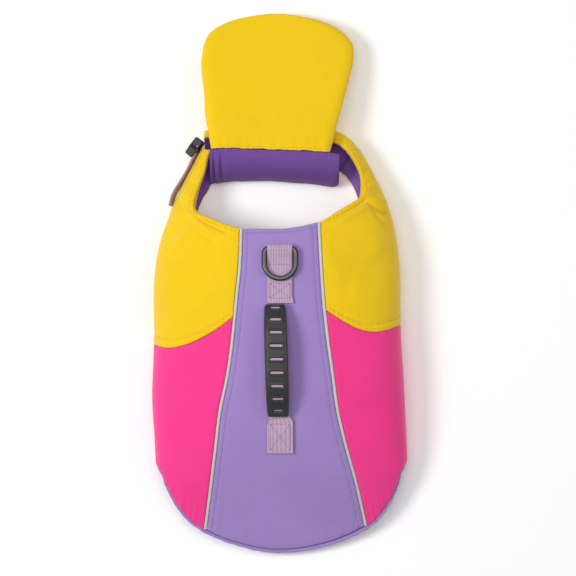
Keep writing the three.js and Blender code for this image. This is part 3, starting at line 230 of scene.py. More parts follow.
materials = {
    # bright yellow woven polyester
    "yellow": wovenCloth("yellow woven polyester", "#f4cb08"),
    # vivid pink woven polyester
    "pink": wovenCloth("pink woven polyester", "#fb3a90"),
    # lavender woven polyester with a finer, slightly shinier face
    "lavender": wovenCloth("lavender woven polyester", "#a186c8", threadMm=0.9, roughness=0.7, sheen=0.35),
    # purple lining, a smooth taffeta
    "lining": wovenCloth("purple taffeta lining", "#8457ac", threadMm=0.8, roughness=0.62, sheen=0.4),
    # the chest pad's face: the same purple taffeta as the lining, its colour painted darker as shade over the
    # pad
    "padShadedLining": wovenCloth("purple taffeta lining painted darker as shade", "#744c9b", threadMm=0.8, roughness=0.7, sheen=0.04),
    # pinkish webbing of handle, ring and belts
    "webbing": webbingCloth("pink grey polyester webbing", "#c3a4c0"),
    # silver grey reflective tape folded over a cord
    "piping": wovenCloth("silver grey reflective tape", "#d0cbca", threadMm=0.7, weaveDepth=0.05,
                         crumpleDepth=0.15, roughness=0.45, sheen=0.1, drift=0.02, fleck=0.03),
    # thread, matching each cloth
    "yellowThread": wovenCloth("yellow polyester thread", "#e9bd12", threadMm=0.4, crumpleDepth=0.1),
    "lavenderThread": wovenCloth("lavender polyester thread", "#9678be", threadMm=0.4, crumpleDepth=0.1),
    "liningThread": wovenCloth("purple polyester thread", "#6f4a96", threadMm=0.4, crumpleDepth=0.1),
    "webbingThread": wovenCloth("mauve polyester thread", "#9c779c", threadMm=0.4, crumpleDepth=0.1),
    # moulded matt rubber of the grip
    "rubber": moulded("black moulded rubber", "#2b2a2d", 0.5, grainMm=0.6, grainDepth=0.2),
    # acetal buckles with a fine moulded grain
    "plastic": moulded("black moulded acetal", "#1d1c1e", 0.42, grainMm=0.7, grainDepth=0.12),
    # coated metal ring, with a painted highlight along the top of its wire
    "ringMetal": ringSteel("black coated steel", "#4a4a4c", "#121213", 17.2, 3.0),
}
print("materials are made:", len(materials))


# Meshes

# A named mesh of quads that rides on a body. cloth is a U and V for each vertex, in millimetres.
def putMesh(name, verts, quads, material, slot, cloth=None, body="jacket", stands=(), smooth=True):
    verts = np.asarray(verts, float).reshape(-1, 3)
    quads = np.asarray(quads, np.int64).reshape(-1, 4)
    corner = verts[quads]
    middle = corner.mean(axis=1)
    area = np.cross(corner[:, 2] - corner[:, 0], corner[:, 3] - corner[:, 1])
    if np.einsum("ij,ij->", middle, area) < 0:  # a closed mesh with a negative volume faces inwards
        quads = quads[:, ::-1]
    mesh = bpy.data.meshes.new(name)
    mesh.vertices.add(len(verts))
    mesh.vertices.foreach_set("co", (verts * mm).astype(np.float32).ravel())
    mesh.loops.add(quads.size)
    mesh.loops.foreach_set("vertex_index", quads.ravel().astype(np.int32))
    mesh.polygons.add(len(quads))
    mesh.polygons.foreach_set("loop_start", np.arange(0, quads.size, 4, dtype=np.int32))
    mesh.polygons.foreach_set("use_smooth", np.full(len(quads), smooth))
    mesh.update(calc_edges=True)
    if cloth is None:
        cloth = verts[:, :2]
    layer = mesh.uv_layers.new(name="cloth")
    layer.data.foreach_set("uv", (np.asarray(cloth, float)[quads.ravel()] * mm).astype(np.float32).ravel())
    mesh.validate()
    mesh.materials.append(materials[material])
    piece = bpy.data.objects.new(name, mesh)
    bpy.context.scene.collection.objects.link(piece)
    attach(piece, body)
    if stands:
        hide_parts(*stands)
    return piece


# Vector over its own length
def unit(vector):
    return vector / np.maximum(np.linalg.norm(vector, axis=-1, keepdims=True), 1e-9)


# Distance of each point from the first, summed from point to point
def reachOf(points):
    return np.concatenate([[0], np.cumsum(np.linalg.norm(np.diff(points, axis=0), axis=1))])


# Quads of a grid of vertex numbers, wound one way
def gridQuads(index):
    return np.stack([index[:-1, :-1], index[:-1, 1:], index[1:, 1:], index[1:, :-1]], -1).reshape(-1, 4)


# Closed wall between two equal grids of points: an outer face, an inner face and a rim all round
def wallOf(outer, inner, cloth):
    rows, columns = outer.shape[:2]
    count = rows * columns
    index = np.arange(count).reshape(rows, columns)
    loop = np.concatenate([index[0, :-1], index[:-1, -1], index[-1, :0:-1], index[:0:-1, 0]])
    ahead = np.roll(loop, -1)
    rim = np.stack([ahead, loop, loop + count, ahead + count], -1)
    quads = np.concatenate([gridQuads(index), gridQuads(index)[:, ::-1] + count, rim])
    verts = np.concatenate([outer.reshape(-1, 3), inner.reshape(-1, 3)])
    return verts, quads, np.concatenate([cloth.reshape(-1, 2)] * 2)


# Skin over closed rings of equal count, joined end to end or capped by grids of quads folded from the ring
def skinOf(rings, ring=False):
    rings = np.asarray(rings, float)
    count, around = rings.shape[:2]
    index = np.arange(count * around).reshape(count, around)
    index = np.concatenate([index, index[:, :1]], axis=1)
    if ring:
        index = np.concatenate([index, index[:1]], axis=0)
    quads = gridQuads(index)
    if not ring:  # each cap is a strip of quads across the ring
        half = around // 2
        k = np.arange(half - 1)
        for end, turn in ((0, -1), (count - 1, 1)):
            cap = np.stack([k, k + 1, around - 2 - k, around - 1 - k], -1)[:, ::turn]
            quads = np.concatenate([quads, cap + end * around])
    along, girth = reachOf(rings.mean(1)), reachOf(rings[count // 2])
    cloth = np.stack(np.broadcast_arrays(girth[None, :], along[:, None]), -1)
    return rings.reshape(-1, 3), quads, cloth.reshape(-1, 2)


# Rings of a flat or rounded bar: section is (across, up) in halves of its width and thickness
def barRings(points, across, width, thick, section):
    points = np.asarray(points, float)
    ahead = unit(np.gradient(points, axis=0))
    across = np.broadcast_to(across, points.shape)
    across = unit(across - (across * ahead).sum(1, keepdims=True) * ahead)
    up = np.cross(across, ahead)
    up *= np.sign(up[:, 2:3] + 1e-9) if abs(up[:, 2].mean()) > 0.2 else 1
    section = np.asarray(section, float)
    width = np.broadcast_to(width, len(points))[:, None, None]
    thick = np.broadcast_to(thick, len(points))[:, None, None]
    return (points[:, None] + across[:, None] * section[None, :, :1] * width / 2
            + up[:, None] * section[None, :, 1:] * thick / 2)


# Rounded rectangle of half sizes 1 by 1: a superellipse of this power
def softSection(count, power=6.0):
    turn = 2 * np.pi * (np.arange(count) + 0.5) / count
    cosine, sine = np.cos(turn), np.sin(turn)
    reach = (np.abs(cosine) ** power + np.abs(sine) ** power) ** (-1 / power)
    return np.stack([cosine * reach, sine * reach], -1)


# Shares from 0 to 1 that stand closer together near both ends
def closeEnds(count, pull=0.75):
    t = np.linspace(0, 1, count)
    return t - pull / (2 * np.pi) * np.sin(2 * np.pi * t)


# Smooth step from 0 at low to 1 at high: three t squared less two t cubed
def smoothStep(value, low, high):
    t = np.clip((value - low) / (high - low), 0, 1)
    return t * t * (3 - 2 * t)


# The body's form

bodySections = {
    "y": [150, 134, 119, 100, 82, 59, 35, 5, -50, -110, -150, -185, -215, -245, -275],
    "left": [66, 79, 87, 97, 105.5, 114, 121.5, 126, 126.5, 128, 126, 124, 121, 114, 104],
    "right": [62, 79.5, 89, 98.5, 106.5, 114, 118, 120, 121.5, 124.5, 126.5, 126.5, 122, 115, 105],
    "crown": [47, 49, 51, 55, 62, 70, 76, 79, 80, 78, 71, 59, 43, 27, 13],
    "side": [18, 19, 19, 20, 21, 22, 23, 24, 24, 24, 23, 18, 12, 8, 6],
}
bodyForm = {"round": 2.4, "underDip": 1.15, "steps": 120, "lowY": -284, "highY": 156, "girth": 360}


# Smooth value of a table's column at y: cubic pieces whose slopes come from the rows on both sides
def columnAt(table, key, y):
    rowY = np.array(table["y"], float)
    value = np.array(table[key], float)
    y = np.clip(y, rowY[-1], rowY[0])
    slope = np.empty_like(value)
    slope[1:-1] = (value[2:] - value[:-2]) / (rowY[2:] - rowY[:-2])
    slope[0] = (value[1] - value[0]) / (rowY[1] - rowY[0])
    slope[-1] = (value[-1] - value[-2]) / (rowY[-1] - rowY[-2])
    i = np.clip(np.searchsorted(-rowY, -y, side="right") - 1, 0, len(rowY) - 2)
    span = rowY[i + 1] - rowY[i]
    t = (y - rowY[i]) / span
    smooth = t * t * (3 - 2 * t)
    turn = t * (1 - t) ** 2 * span * slope[i] - t ** 2 * (1 - t) * span * slope[i + 1]
    return value[i] * (1 - smooth) + value[i + 1] * smooth + turn


# Girth sections at y: half width x, height z and distance u along the cloth from the spine.
# The upper half is x = w sin^k, z = side + rise cos^k; the lower half mirrors it, laid flat on the floor.
def girthSections(y, side):
    y = np.atleast_1d(np.asarray(y, float))
    wide, crown, fold = (columnAt(bodySections, key, y)[:, None] for key in (side, "crown", "side"))
    turn = np.pi * np.arange(bodyForm["steps"] + 1) / bodyForm["steps"]
    power = 2 / bodyForm["round"]
    across = np.maximum(0, np.sin(turn)) ** power
    along = np.abs(np.cos(turn)) ** power
    lower = np.maximum(0, fold - bodyForm["underDip"] * fold * along)
    x = wide * across
    z = np.where(turn <= np.pi / 2 + 1e-9, fold + (crown - fold) * along, lower)
    step = np.hypot(np.diff(x, axis=1), np.diff(z, axis=1))
    return x, z, np.concatenate([np.zeros((len(y), 1)), np.cumsum(step, axis=1)], axis=1)


# The form as a table over y and u, one for each side, read by straight interpolation
formRows = np.arange(bodyForm["lowY"], bodyForm["highY"] + 1, 1.0)
formColumns = np.arange(0, bodyForm["girth"] + 1, 1.0)
formTable = []
for side in ("left", "right"):
    sectionX, sectionZ, sectionU = girthSections(formRows, side)
    formTable.append([[np.interp(formColumns, u, x), np.interp(formColumns, u, z)]
                      for x, z, u in zip(sectionX, sectionZ, sectionU)])
formTable = np.array(formTable)  # side, row, x or z, column


# Point of the form at distance u from the spine, negative to the left: the mean of the table's
# four neighbours, weighted by nearness
def formPoint(u, y):
    u, y = np.broadcast_arrays(np.asarray(u, float), np.asarray(y, float))
    side = (u >= 0).astype(int)
    reach = np.clip(np.abs(u), 0, formColumns[-1] - 1e-6)
    row = np.clip(y, formRows[0], formRows[-1] - 1e-6) - formRows[0]
    i, j = row.astype(int), reach.astype(int)
    a, b = row - i, reach - j
    point = [
        (formTable[side, i, k, j] * (1 - b) + formTable[side, i, k, j + 1] * b) * (1 - a)
        + (formTable[side, i + 1, k, j] * (1 - b) + formTable[side, i + 1, k, j + 1] * b) * a
        for k in (0, 1)
    ]
    return np.stack([np.where(u < 0, -1, 1) * point[0], y, point[1]], -1)


# Unit normal of the form: the cross product of a step across and a step along
def formNormal(u, y, step=3.0):
    across = formPoint(u + step, y) - formPoint(u - step, y)
    along = formPoint(u, y + step) - formPoint(u, y - step)
    return unit(np.cross(across, along))


# Points of the form and its normals at flat places (u, y)
def formAt(flat):
    return formPoint(flat[..., 0], flat[..., 1]), formNormal(flat[..., 0], flat[..., 1])


# Distance u of points known from above: the girth read at each x; under says that they lie below
def girthOf(x, y, under=False):
    x, y, under = np.broadcast_arrays(np.asarray(x, float), np.asarray(y, float), under)
    away, low, leftwards = np.abs(x).ravel(), under.ravel()[:, None], (x.ravel() < 0)[:, None]
    half = bodyForm["steps"] // 2
    leftX, _, leftU = girthSections(y.ravel(), "left")
    rightX, _, rightU = girthSections(y.ravel(), "right")
    sectionX = np.where(leftwards, leftX, rightX)
    sectionU = np.where(leftwards, leftU, rightU)
    sectionX = np.where(low, sectionX[:, :half - 1:-1], sectionX[:, :half + 1])
    sectionU = np.where(low, sectionU[:, :half - 1:-1], sectionU[:, :half + 1])
    row = np.arange(len(away))
    i = np.clip((sectionX < away[:, None]).sum(axis=1) - 1, 0, half - 1)
    span = sectionX[row, i + 1] - sectionX[row, i]
    t = np.clip((away - sectionX[row, i]) / span, 0, 1)
    found = sectionU[row, i] * (1 - t) + sectionU[row, i + 1] * t
    return (np.where(x.ravel() < 0, -1, 1) * found).reshape(x.shape)


# Catmull-Rom curve through points, at shares of its parameter
def splineAt(points, share):
    points = np.asarray(points, float)
    last = len(points) - 1
    place = np.clip(np.asarray(share, float), 0, 1) * last
    i = np.minimum(place.astype(int), last - 1)
    t = (place - i)[..., None]
    p0, p1, p2, p3 = (points[np.clip(i + k, 0, last)] for k in (-1, 0, 1, 2))
    v0, v1 = (p2 - p0) / 2, (p3 - p1) / 2
    return (2 * p1 - 2 * p2 + v0 + v1) * t ** 3 + (-3 * p1 + 3 * p2 - 2 * v0 - v1) * t ** 2 + v0 * t + p1


# Columns of values at given distances along a line, by straight interpolation
def readLine(reach, values, where):
    return np.stack([np.interp(where, reach, column) for column in values.T], -1)


# The same curve as a function of the share of its length, with a trim at both ends
def evenCurve(points, trimStart=0.0, trimEnd=0.0):
    dense = splineAt(points, np.linspace(0, 1, 1500))
    reach = reachOf(dense)

    def at(share):
        kept = reach[-1] - trimStart - trimEnd
        return readLine(reach, dense, trimStart + np.asarray(share, float) * kept)

    return at


# Flat pattern points (u, y) of a table that is given from above
def flatOf(table, x="x", y="y"):
    under = table.get("under", [False] * len(table[x]))
    return np.stack([girthOf(table[x], table[y], under), np.asarray(table[y], float)], -1)


# Patch between four flat edges, all functions of a share: both pairs blended, less the blended corners
def patchOf(front, back, start, finish):
    def at(s, t):
        s1, t1 = s[..., None], t[..., None]
        corner = (front(0.0) * (1 - s1) * (1 - t1) + front(1.0) * s1 * (1 - t1)
                  + back(0.0) * (1 - s1) * t1 + back(1.0) * s1 * t1)
        return front(s) * (1 - t1) + back(s) * t1 + start(t) * (1 - s1) + finish(t) * s1 - corner

    return at


# How far a padded surface dips near its edge: a quarter round of the given depth
def edgeDip(distance, depth, reach=7.0):
    t = np.clip(distance / reach, 0, 1)
    return depth * (1 - np.sqrt(np.maximum(0, 1 - (1 - t) ** 2)))


# Irregular wave along a seam: three sines of near lengths, each with its own start
def unevenWave(along, length, start):
    return (np.sin(2 * np.pi * along / length + start)
            + 0.7 * np.sin(2 * np.pi * along / (length * 0.61) + 2.3 * start)
            + 0.6 * np.sin(2 * np.pi * along / (length * 1.73) + 5.1 * start)) / 2.3


# Gathers that a seam pulls into the cloth beside it, fading with the distance from the seam
def puckers(along, distance, depth, length=9.0, reach=9.0, start=0.0):
    return depth * unevenWave(along, length, start) * np.exp(-np.abs(distance) / reach)


# Soft creases, each a line from start to end seen from above: positive height is a ridge
def creases(point, rows):
    height = np.zeros(point.shape[:-1])
    for x0, y0, x1, y1, width, rise in rows:
        line = np.array([x1 - x0, y1 - y0], float)
        length = np.linalg.norm(line)
        offset = point[..., :2] - np.array([x0, y0], float)
        t = (offset @ line) / length ** 2
        away = (offset[..., 0] * line[1] - offset[..., 1] * line[0]) / length
        bend = width * 0.35 * np.sin(3 * t + x0)
        taper = smoothStep(t, -0.12, 0.3) * (1 - smoothStep(t, 0.6, 1.12))
        height += rise * taper * np.exp(-((away + bend) / width) ** 2)
    return height


# Slow swell of foam under cloth
def swell(point, height, length, start):
    x, y = point[..., 0], point[..., 1]
    return height * (np.sin(2 * np.pi * (x + 0.4 * y) / length + start)
                     + np.sin(2 * np.pi * (y - 0.3 * x) / (length * 1.3) + 2 * start)) / 2


shell = {"thick": 8.0, "seamGap": 0.3, "pipingWidth": 3.2}
channel = shell["pipingWidth"] / 2 + shell["seamGap"]
pipingLine = {
    "y": [55, 17, -19, -55, -91, -127, -163, -199, -247],
    "left": [-38.4, -39.8, -43.5, -47, -52, -59.5, -64, -68.5, -75],
    "right": [39, 41, 43.5, 47.5, 52.5, 57.5, 66, 76, 87],
}


# Edge of a panel along one of the long seams, from one y to another
def seamEdge(side, fromY, toY, offset):
    y = np.linspace(fromY, toY, 60)
    u = girthOf(columnAt(pipingLine, side, y), y) + offset

    def at(share):
        want = fromY + (toY - fromY) * np.asarray(share, float)
        order = np.argsort(y)
        return np.stack([np.interp(want, y[order], u[order]), want], -1)

    return at


# Panel on the body's form: heights along its normal for the outer face, and a wall down to the inner face
def panelPoints(place, s, t, heightOf, thick):
    grid = np.meshgrid(s, t)
    flat = place(*grid)
    base, normal = formAt(flat)
    dip, extra = heightOf(grid[0], grid[1], base)
    outer = base + normal * (extra - dip)[..., None]
    inner = base + normal * (dip * 0.7 - thick)[..., None]
    return outer, inner, flat


# Stitches: small rounded bars laid along a line, each half sunk in the cloth
stitchSection = softSection(6, 2.2)
stitchProfile = np.array([
    # share of the length, share of the width, rise in halves of the width
    (-0.5, 0.25, -0.5),
    (-0.42, 0.8, -0.1),
    (0.0, 1.0, 0.12),
    (0.42, 0.8, -0.1),
    (0.5, 0.25, -0.5),
])


# A row of stitches: the line's length is divided evenly by the pitch, and each profile is set on its place
def stitchRow(points, normals, pitch, length, width=0.7, lift=0.15):
    points = np.asarray(points, float)
    reach = reachOf(points)
    count = max(1, int(reach[-1] // pitch))
    centre = (np.arange(count) + 0.5) * reach[-1] / count
    along = centre[:, None] + stitchProfile[None, :, 0] * length
    middle = readLine(reach, points, along)
    up = unit(readLine(reach, normals, along))
    ahead = unit(readLine(reach, points, centre + 0.5) - readLine(reach, points, centre - 0.5))[:, None]
    side = unit(np.cross(up, np.broadcast_to(ahead, up.shape)))
    middle = middle + up * (lift + stitchProfile[None, :, 2:] * width * 0.5)
    size = stitchProfile[None, :, 1, None, None] * width / 2
    rings = (middle[:, :, None] + side[:, :, None] * stitchSection[:, 0, None] * size
             + up[:, :, None] * stitchSection[:, 1, None] * size)
    around = len(stitchSection)
    index = np.arange(len(stitchProfile) * around).reshape(-1, around)
    ring = gridQuads(np.concatenate([index, index[:, :1]], axis=1))
    k = np.arange(around // 2 - 1)
    cap = np.stack([k, k + 1, around - 2 - k, around - 1 - k], -1)
    one = np.concatenate([ring, cap[:, ::-1], cap + (len(stitchProfile) - 1) * around])
    quads = one[None] + (np.arange(count) * len(stitchProfile) * around)[:, None, None]
    return rings.reshape(-1, 3), quads.reshape(-1, 4)


# Several bodies as one mesh
def joined(bodies):
    starts = np.cumsum([0] + [len(verts) for verts, _ in bodies])
    return (np.concatenate([verts for verts, _ in bodies]),
            np.concatenate([quads + start for (_, quads), start in zip(bodies, starts)]))


# All rows of a seam's stitches as one piece
def putStitches(name, rows, material, slot):
    return putMesh(name, *joined(rows), material, slot)


print("body form is worked out")


# Spine panel and its two piped seams

spine = {
    "neckX": [-38.4, -20, 2, 20, 39],
    "neckY": [54.5, 54.2, 54.2, 56.5, 61],
    "tailX": [-75, -58, -40, -20, 0, 22, 47, 67, 87],
    "tailY": [-248.5, -256, -262, -267, -268.8, -267, -261.5, -254.5, -244.5],
    "columns": 90,
    "rows": 220,
    "seamAway": 5.2,  # topstitching beside the piping
    "hemAway": 4.5,  # topstitching of the neck hem
    "neckWide": 78,
    "flare": 84,  # how much wider the tail is
    "long": 325,
}
neckCurve = evenCurve(flatOf({"x": spine["neckX"], "y": spine["neckY"]}), channel, channel)
tailPoints = flatOf({"x": spine["tailX"], "y": spine["tailY"]})
tailCurve = evenCurve(tailPoints, channel * 1.1, channel * 1.1)
spineLeftY, spineRightY = (54.5, -248.5), (61, -244.5)
spinePlace = patchOf(neckCurve, tailCurve, seamEdge("left", *spineLeftY, channel),
                     seamEdge("right", *spineRightY, -channel))


# Width of the spine at a share of its length: the flare grows with a power of the share
def spineWide(t):
    return spine["neckWide"] + spine["flare"] * t ** 1.6


# Groove that a row of stitches pulls into padded cloth: a bell curve over the distance from the row
def groove(distance, depth, width=1.6):
    return depth * np.exp(-(distance / width) ** 2)


# Rounded edges, a stitched groove beside each piped seam with gathers across it, and a turned neck hem
def spineHeights(s, t, base):
    across = spineWide(t)
    fromSeam = np.minimum(s, 1 - s) * across
    fromNeck, fromTail = t * spine["long"], (1 - t) * spine["long"]
    dip = np.maximum.reduce([edgeDip(fromSeam, 1.7, 5), edgeDip(fromNeck, 2.4, 6), edgeDip(fromTail, 2.2, 7)])
    start = np.where(s < 0.5, 0.0, 2.0)
    gathers = (puckers(fromNeck, fromSeam - 3, 0.62, 3.8, 3.6, start)
               + puckers(fromNeck, fromSeam, 0.3, 11, 12, start + 1)
               + puckers(s * across, fromTail, 0.5, 9, 12, 1.0))
    sewn = groove(fromSeam - spine["seamAway"], 0.55) + groove(fromNeck - spine["hemAway"], 0.35)
    hemFold = 0.9 * np.exp(-((base[..., 0] + 21) / 2.5) ** 2 - (fromNeck / 3) ** 2)
    return dip, gathers - sewn + swell(base, 0.35, 90, 0.6) + hemFold


outer, inner, flat = panelPoints(spinePlace, closeEnds(spine["columns"], 0.8),
                                 closeEnds(spine["rows"], 0.6), spineHeights, shell["thick"])
verts, quads, cloth = wallOf(outer, inner, flat)
spinePiece = putMesh("spinePanel", verts, quads, "lavender", "lavender_cloth", cloth, stands=["spine_panel"])


# Points and normals on the outer cloth of a panel, along a line of its grid shares
def lineOn(place, s, t, heightOf):
    s, t = np.broadcast_arrays(np.asarray(s, float), np.asarray(t, float))
    flat = place(s, t)
    base, normal = formAt(flat)
    dip, extra = heightOf(s, t, base)
    return base + normal * (extra - dip)[..., None], normal


lengthwise = np.linspace(0.012, 0.985, 500)
seamShare = spine["seamAway"] / spineWide(lengthwise)
hemShare = spine["hemAway"] / spine["long"]
spineRows = [stitchRow(*lineOn(spinePlace, share, lengthwise, spineHeights), 3.4, 2.5, 0.6)
             for share in (seamShare, 1 - seamShare)]
spineRows.append(stitchRow(*lineOn(spinePlace, np.linspace(0.03, 0.97, 200), hemShare, spineHeights),
                           3.4, 2.5, 0.6))
putStitches("spineStitches", spineRows, "lavenderThread", "lavender_cloth")

# Reflective piping: a flat cord wrapped in tape, standing in each long seam
pipingForm = {
    "profile": [(-1, -5), (-1.02, -2.2), (-0.98, -1.2), (-0.8, -0.35), (-0.45, 0.0), (0, 0.12), (0.45, 0.0),
                (0.8, -0.35), (0.98, -1.2), (1.02, -2.2), (1, -5), (0.33, -5), (0, -5), (-0.33, -5)],
    "rows": 320,
    "ends": [("left", 53.9, -247.2), ("right", 60.2, -243.6)],
}
for side, fromY, toY in pipingForm["ends"]:
    y = np.linspace(fromY, toY, pipingForm["rows"])
    u = girthOf(columnAt(pipingLine, side, y), y)
    share, height = np.array(pipingForm["profile"]).T
    wave = 0.12 * unevenWave(y, 7.0, 1.0)[:, None]
    rings = (formPoint(u[:, None] + share * shell["pipingWidth"] / 2 + wave, y[:, None])
             + formNormal(u, y)[:, None] * (height + 0.15 * unevenWave(y, 5.0, 2.0)[:, None])[..., None])
    verts, quads, cloth = skinOf(rings)
    piece = putMesh("piping_" + side + "_tape", verts, quads, "piping", "reflective_piping", cloth,
                    stands=["piping_" + side])
print("spine panel and piping are made")


# Yokes with their arms

# Ribs of each yoke from the neck edge to the scallop, the belly seam or the leg opening, seen from above.
# fold is the y at which a rib of the arm rounds the side.
yokes = {
    "left": {
        "neckX": [-38.4, -47, -56, -65, -73.5, -80, -84.5, -86.3, -86, -85, -83.7, -82.2, -80.3, -78.2, -76.3,
                  -74.8, -73.4, -70.8],
        "neckY": [54.5, 57, 60, 63.5, 67, 70, 73.5, 77.5, 82, 86.5, 91, 95.5, 100.5, 106, 112, 119, 126,
                  133.5],
        "endX": [-46, -57, -68, -82, -97, -112, -124, -113, -88.5, -88.5, -88.5, -91, -86, -82, -78, -74,
                 -71.8, -70.8],
        "endY": [-33.5, -42, -49, -56.5, -62, -64.5, -62, -55, -50, -14, 22, 46, 65, 77, 86, 92, 97, 101],
        "fold": {9: 52, 10: 68, 11: 80, 12: 90, 13: 99, 14: 107.5, 15: 116.5, 16: 125.5, 17: 134},
    },
    "right": {
        "neckX": [39, 47, 55.5, 64, 72, 77.5, 80.5, 81.8, 82.4, 82.6, 82.4, 81.8, 80.4, 78.4, 75.4, 71.8,
                  67.8],
        "neckY": [61, 66, 71.5, 76.5, 81, 84, 87, 91, 95, 99, 103, 107, 112, 117, 122.5, 128, 133],
        "endX": [45.5, 54, 64, 77, 92, 106, 118, 110, 88.5, 88.5, 88.5, 90, 84, 79, 74.5, 68.5, 62],
        "endY": [-27, -32.5, -38.5, -45, -48.5, -47, -43, -38, -36, -8, 22, 48, 70, 86, 97, 106, 111.5],
        "fold": {9: 56, 10: 72, 11: 85, 12: 96, 13: 106, 14: 116, 15: 125, 16: 133},
    },
}
yokeForm = {
    "underFrom": 7,  # the rows from here on end on the belly side
    "scallopRows": 8,
    "bellySeamX": 88.5,
    "wingFrontY": 22,
    "columns": 180,
    "rows": 104,
    "girth": 330,
    "reach": 150,
    "scallopHem": 8.5,  # stitched rows, from the edge
    "neckHem": 6,
}


# Girth from the spine to the side fold, at each row of the form
foldGirth = {side: girthSections(formRows, side)[2][:, bodyForm["steps"] // 2] for side in ("left", "right")}


# Each rib is a parabola over neck edge, side fold and end; beside the piping the ribs bow with the seam
def yokePlace(side):
    table = yokes[side]
    sign = -1 if side == "left" else 1
    count = len(table["neckX"])
    under = np.arange(count) >= yokeForm["underFrom"]
    neck = flatOf({"x": table["neckX"], "y": table["neckY"]})
    end = flatOf({"x": table["endX"], "y": table["endY"], "under": under})

    # girth at the body's fold
    def foldU(y):
        return sign * np.interp(y, formRows, foldGirth[side])

    straight = (foldU(neck[:, 1]) - neck[:, 0]) / (end[:, 0] - neck[:, 0])
    foldY = neck[:, 1] + (end[:, 1] - neck[:, 1]) * straight
    foldY[list(table["fold"])] = list(table["fold"].values())
    seamY = np.linspace(neck[0][1], end[0][1], 80)
    seamU = girthOf(columnAt(pipingLine, side, seamY), seamY)
    seamShare = (seamY - seamY[0]) / (seamY[-1] - seamY[0])
    lineX = table["neckX"][0] + (table["endX"][0] - table["neckX"][0]) * seamShare
    bowOf = seamU - girthOf(lineX, seamY)
    bellyU = np.abs(girthOf(np.full(len(formRows), sign * yokeForm["bellySeamX"]), formRows, True))

    def at(s, t):
        a, b = splineAt(neck, s), splineAt(end, s)
        limit = np.interp(b[..., 1], formRows, bellyU)
        atWing = b[..., 1] < yokeForm["wingFrontY"] + 2
        endU = np.where(atWing, sign * np.minimum(np.abs(b[..., 0]), limit), b[..., 0])
        fold = splineAt(foldY[:, None], s)[..., 0]
        u = a[..., 0] + (endU - a[..., 0]) * t
        bend = np.clip((foldU(fold) - a[..., 0]) / (endU - a[..., 0]), 0.2, 0.8)
        off = fold - (a[..., 1] + (b[..., 1] - a[..., 1]) * bend)
        arm = smoothStep(s, 0.45, 0.6)
        y = a[..., 1] + (b[..., 1] - a[..., 1]) * t + arm * off * t * (1 - t) / (bend * (1 - bend))
        seamAt = neck[0][1] + (end[0][1] - neck[0][1]) * t
        bow = np.interp(-seamAt, -seamY, bowOf)
        return np.stack([u + (bow + sign * channel) * (1 - s) ** 4, y], -1)

    return at


yokePlaces = {side: yokePlace(side) for side in yokes}

# Main creases, seen from above: x and y of both ends, half width, rise. Ridges are positive.
yokeCreases = {
    "left": [
        (-86, 66, -50, 50, 1.9, -3.2), (-90, 70, -56, 58, 2.6, 1.9), (-84, 58, -62, 38, 3.2, -2.0),
        (-88, 66, -66, 44, 3.0, 1.8), (-92, 66, -114, 38, 3.2, -2.4), (-88, 60, -108, 32, 3.6, 2.1),
        (-116, 44, -96, 30, 4.0, -1.4), (-121, 29, -98, 22, 3.2, -2.0), (-122, 24, -92, 10, 4.2, 1.5),
        (-119, 2, -74, -8, 7.0, -0.9), (-110, -30, -60, -10, 8.0, 0.8), (-100, 96, -88, 82, 3.0, 1.3),
        (-97, 110, -82, 96, 3.4, -1.1), (-104, 84, -90, 74, 3.4, -1.2), (-62, 34, -46, -8, 6.0, 0.7),
        (-84, 20, -60, -24, 6.5, -0.7),
    ],
    "right": [
        (88, 84, 56, 64, 2.0, -3.0), (90, 79, 54, 56, 3.4, 2.0), (84, 80, 112, 68, 2.2, -2.6),
        (86, 87, 114, 77, 2.8, 2.1), (90, 74, 112, 54, 3.0, -1.8), (106, 48, 80, 22, 7.0, 0.8),
        (116, 24, 82, 10, 7.5, -0.8), (112, -10, 66, -18, 8.0, 0.7), (96, 102, 84, 90, 3.0, 1.3),
        (92, 114, 79, 106, 3.2, -1.2), (100, 92, 86, 82, 3.4, -1.1), (48, 40, 56, 2, 6.0, 0.7),
        (78, 26, 64, -18, 6.5, -0.7),
    ],
}


# Thickness of a yoke: a smooth step thins it toward the end of its arm
def yokeThick(s):
    return shell["thick"] - 3 * smoothStep(s, 0.45, 0.75)


# Rounded edges, stitched hems at neck and scallop, gathers at the seams and the listed creases
def yokeHeights(side):
    start = 0.0 if side == "left" else 1.7

    def at(s, t, base):
        girth, reach = yokeForm["girth"], yokeForm["reach"]
        fromSeam, fromBand, fromNeck, fromEnd = s * girth, (1 - s) * girth, t * reach, (1 - t) * reach
        scallop = 1 - smoothStep(s, 0.42, 0.5)
        dip = np.maximum.reduce([edgeDip(fromSeam, 1.7, 5), edgeDip(fromBand, 1.6, 6),
                                 edgeDip(fromNeck, 2.2, 5), edgeDip(fromEnd, 1.8 - 1.0 * scallop, 4)])
        hem = (groove(fromEnd - yokeForm["scallopHem"], 0.85, 2.0) * scallop
               - 0.55 * scallop * np.exp(-((fromEnd - 4) / 2.6) ** 2)
               + groove(fromNeck - yokeForm["neckHem"], 0.4, 1.3))
        gathers = (puckers(s * girth, fromNeck - 2, 0.5, 10, 7, start)
                   + puckers(s * girth, fromEnd - 6, 0.45, 9, 8, start)
                   + puckers(t * reach, fromSeam, 0.45, 10, 9, start + 1))
        folds = creases(base, yokeCreases[side]) * smoothStep(base[..., 2], 24, 34)
        return dip, folds + gathers - hem + swell(base, 0.6, 62, start)

    return at


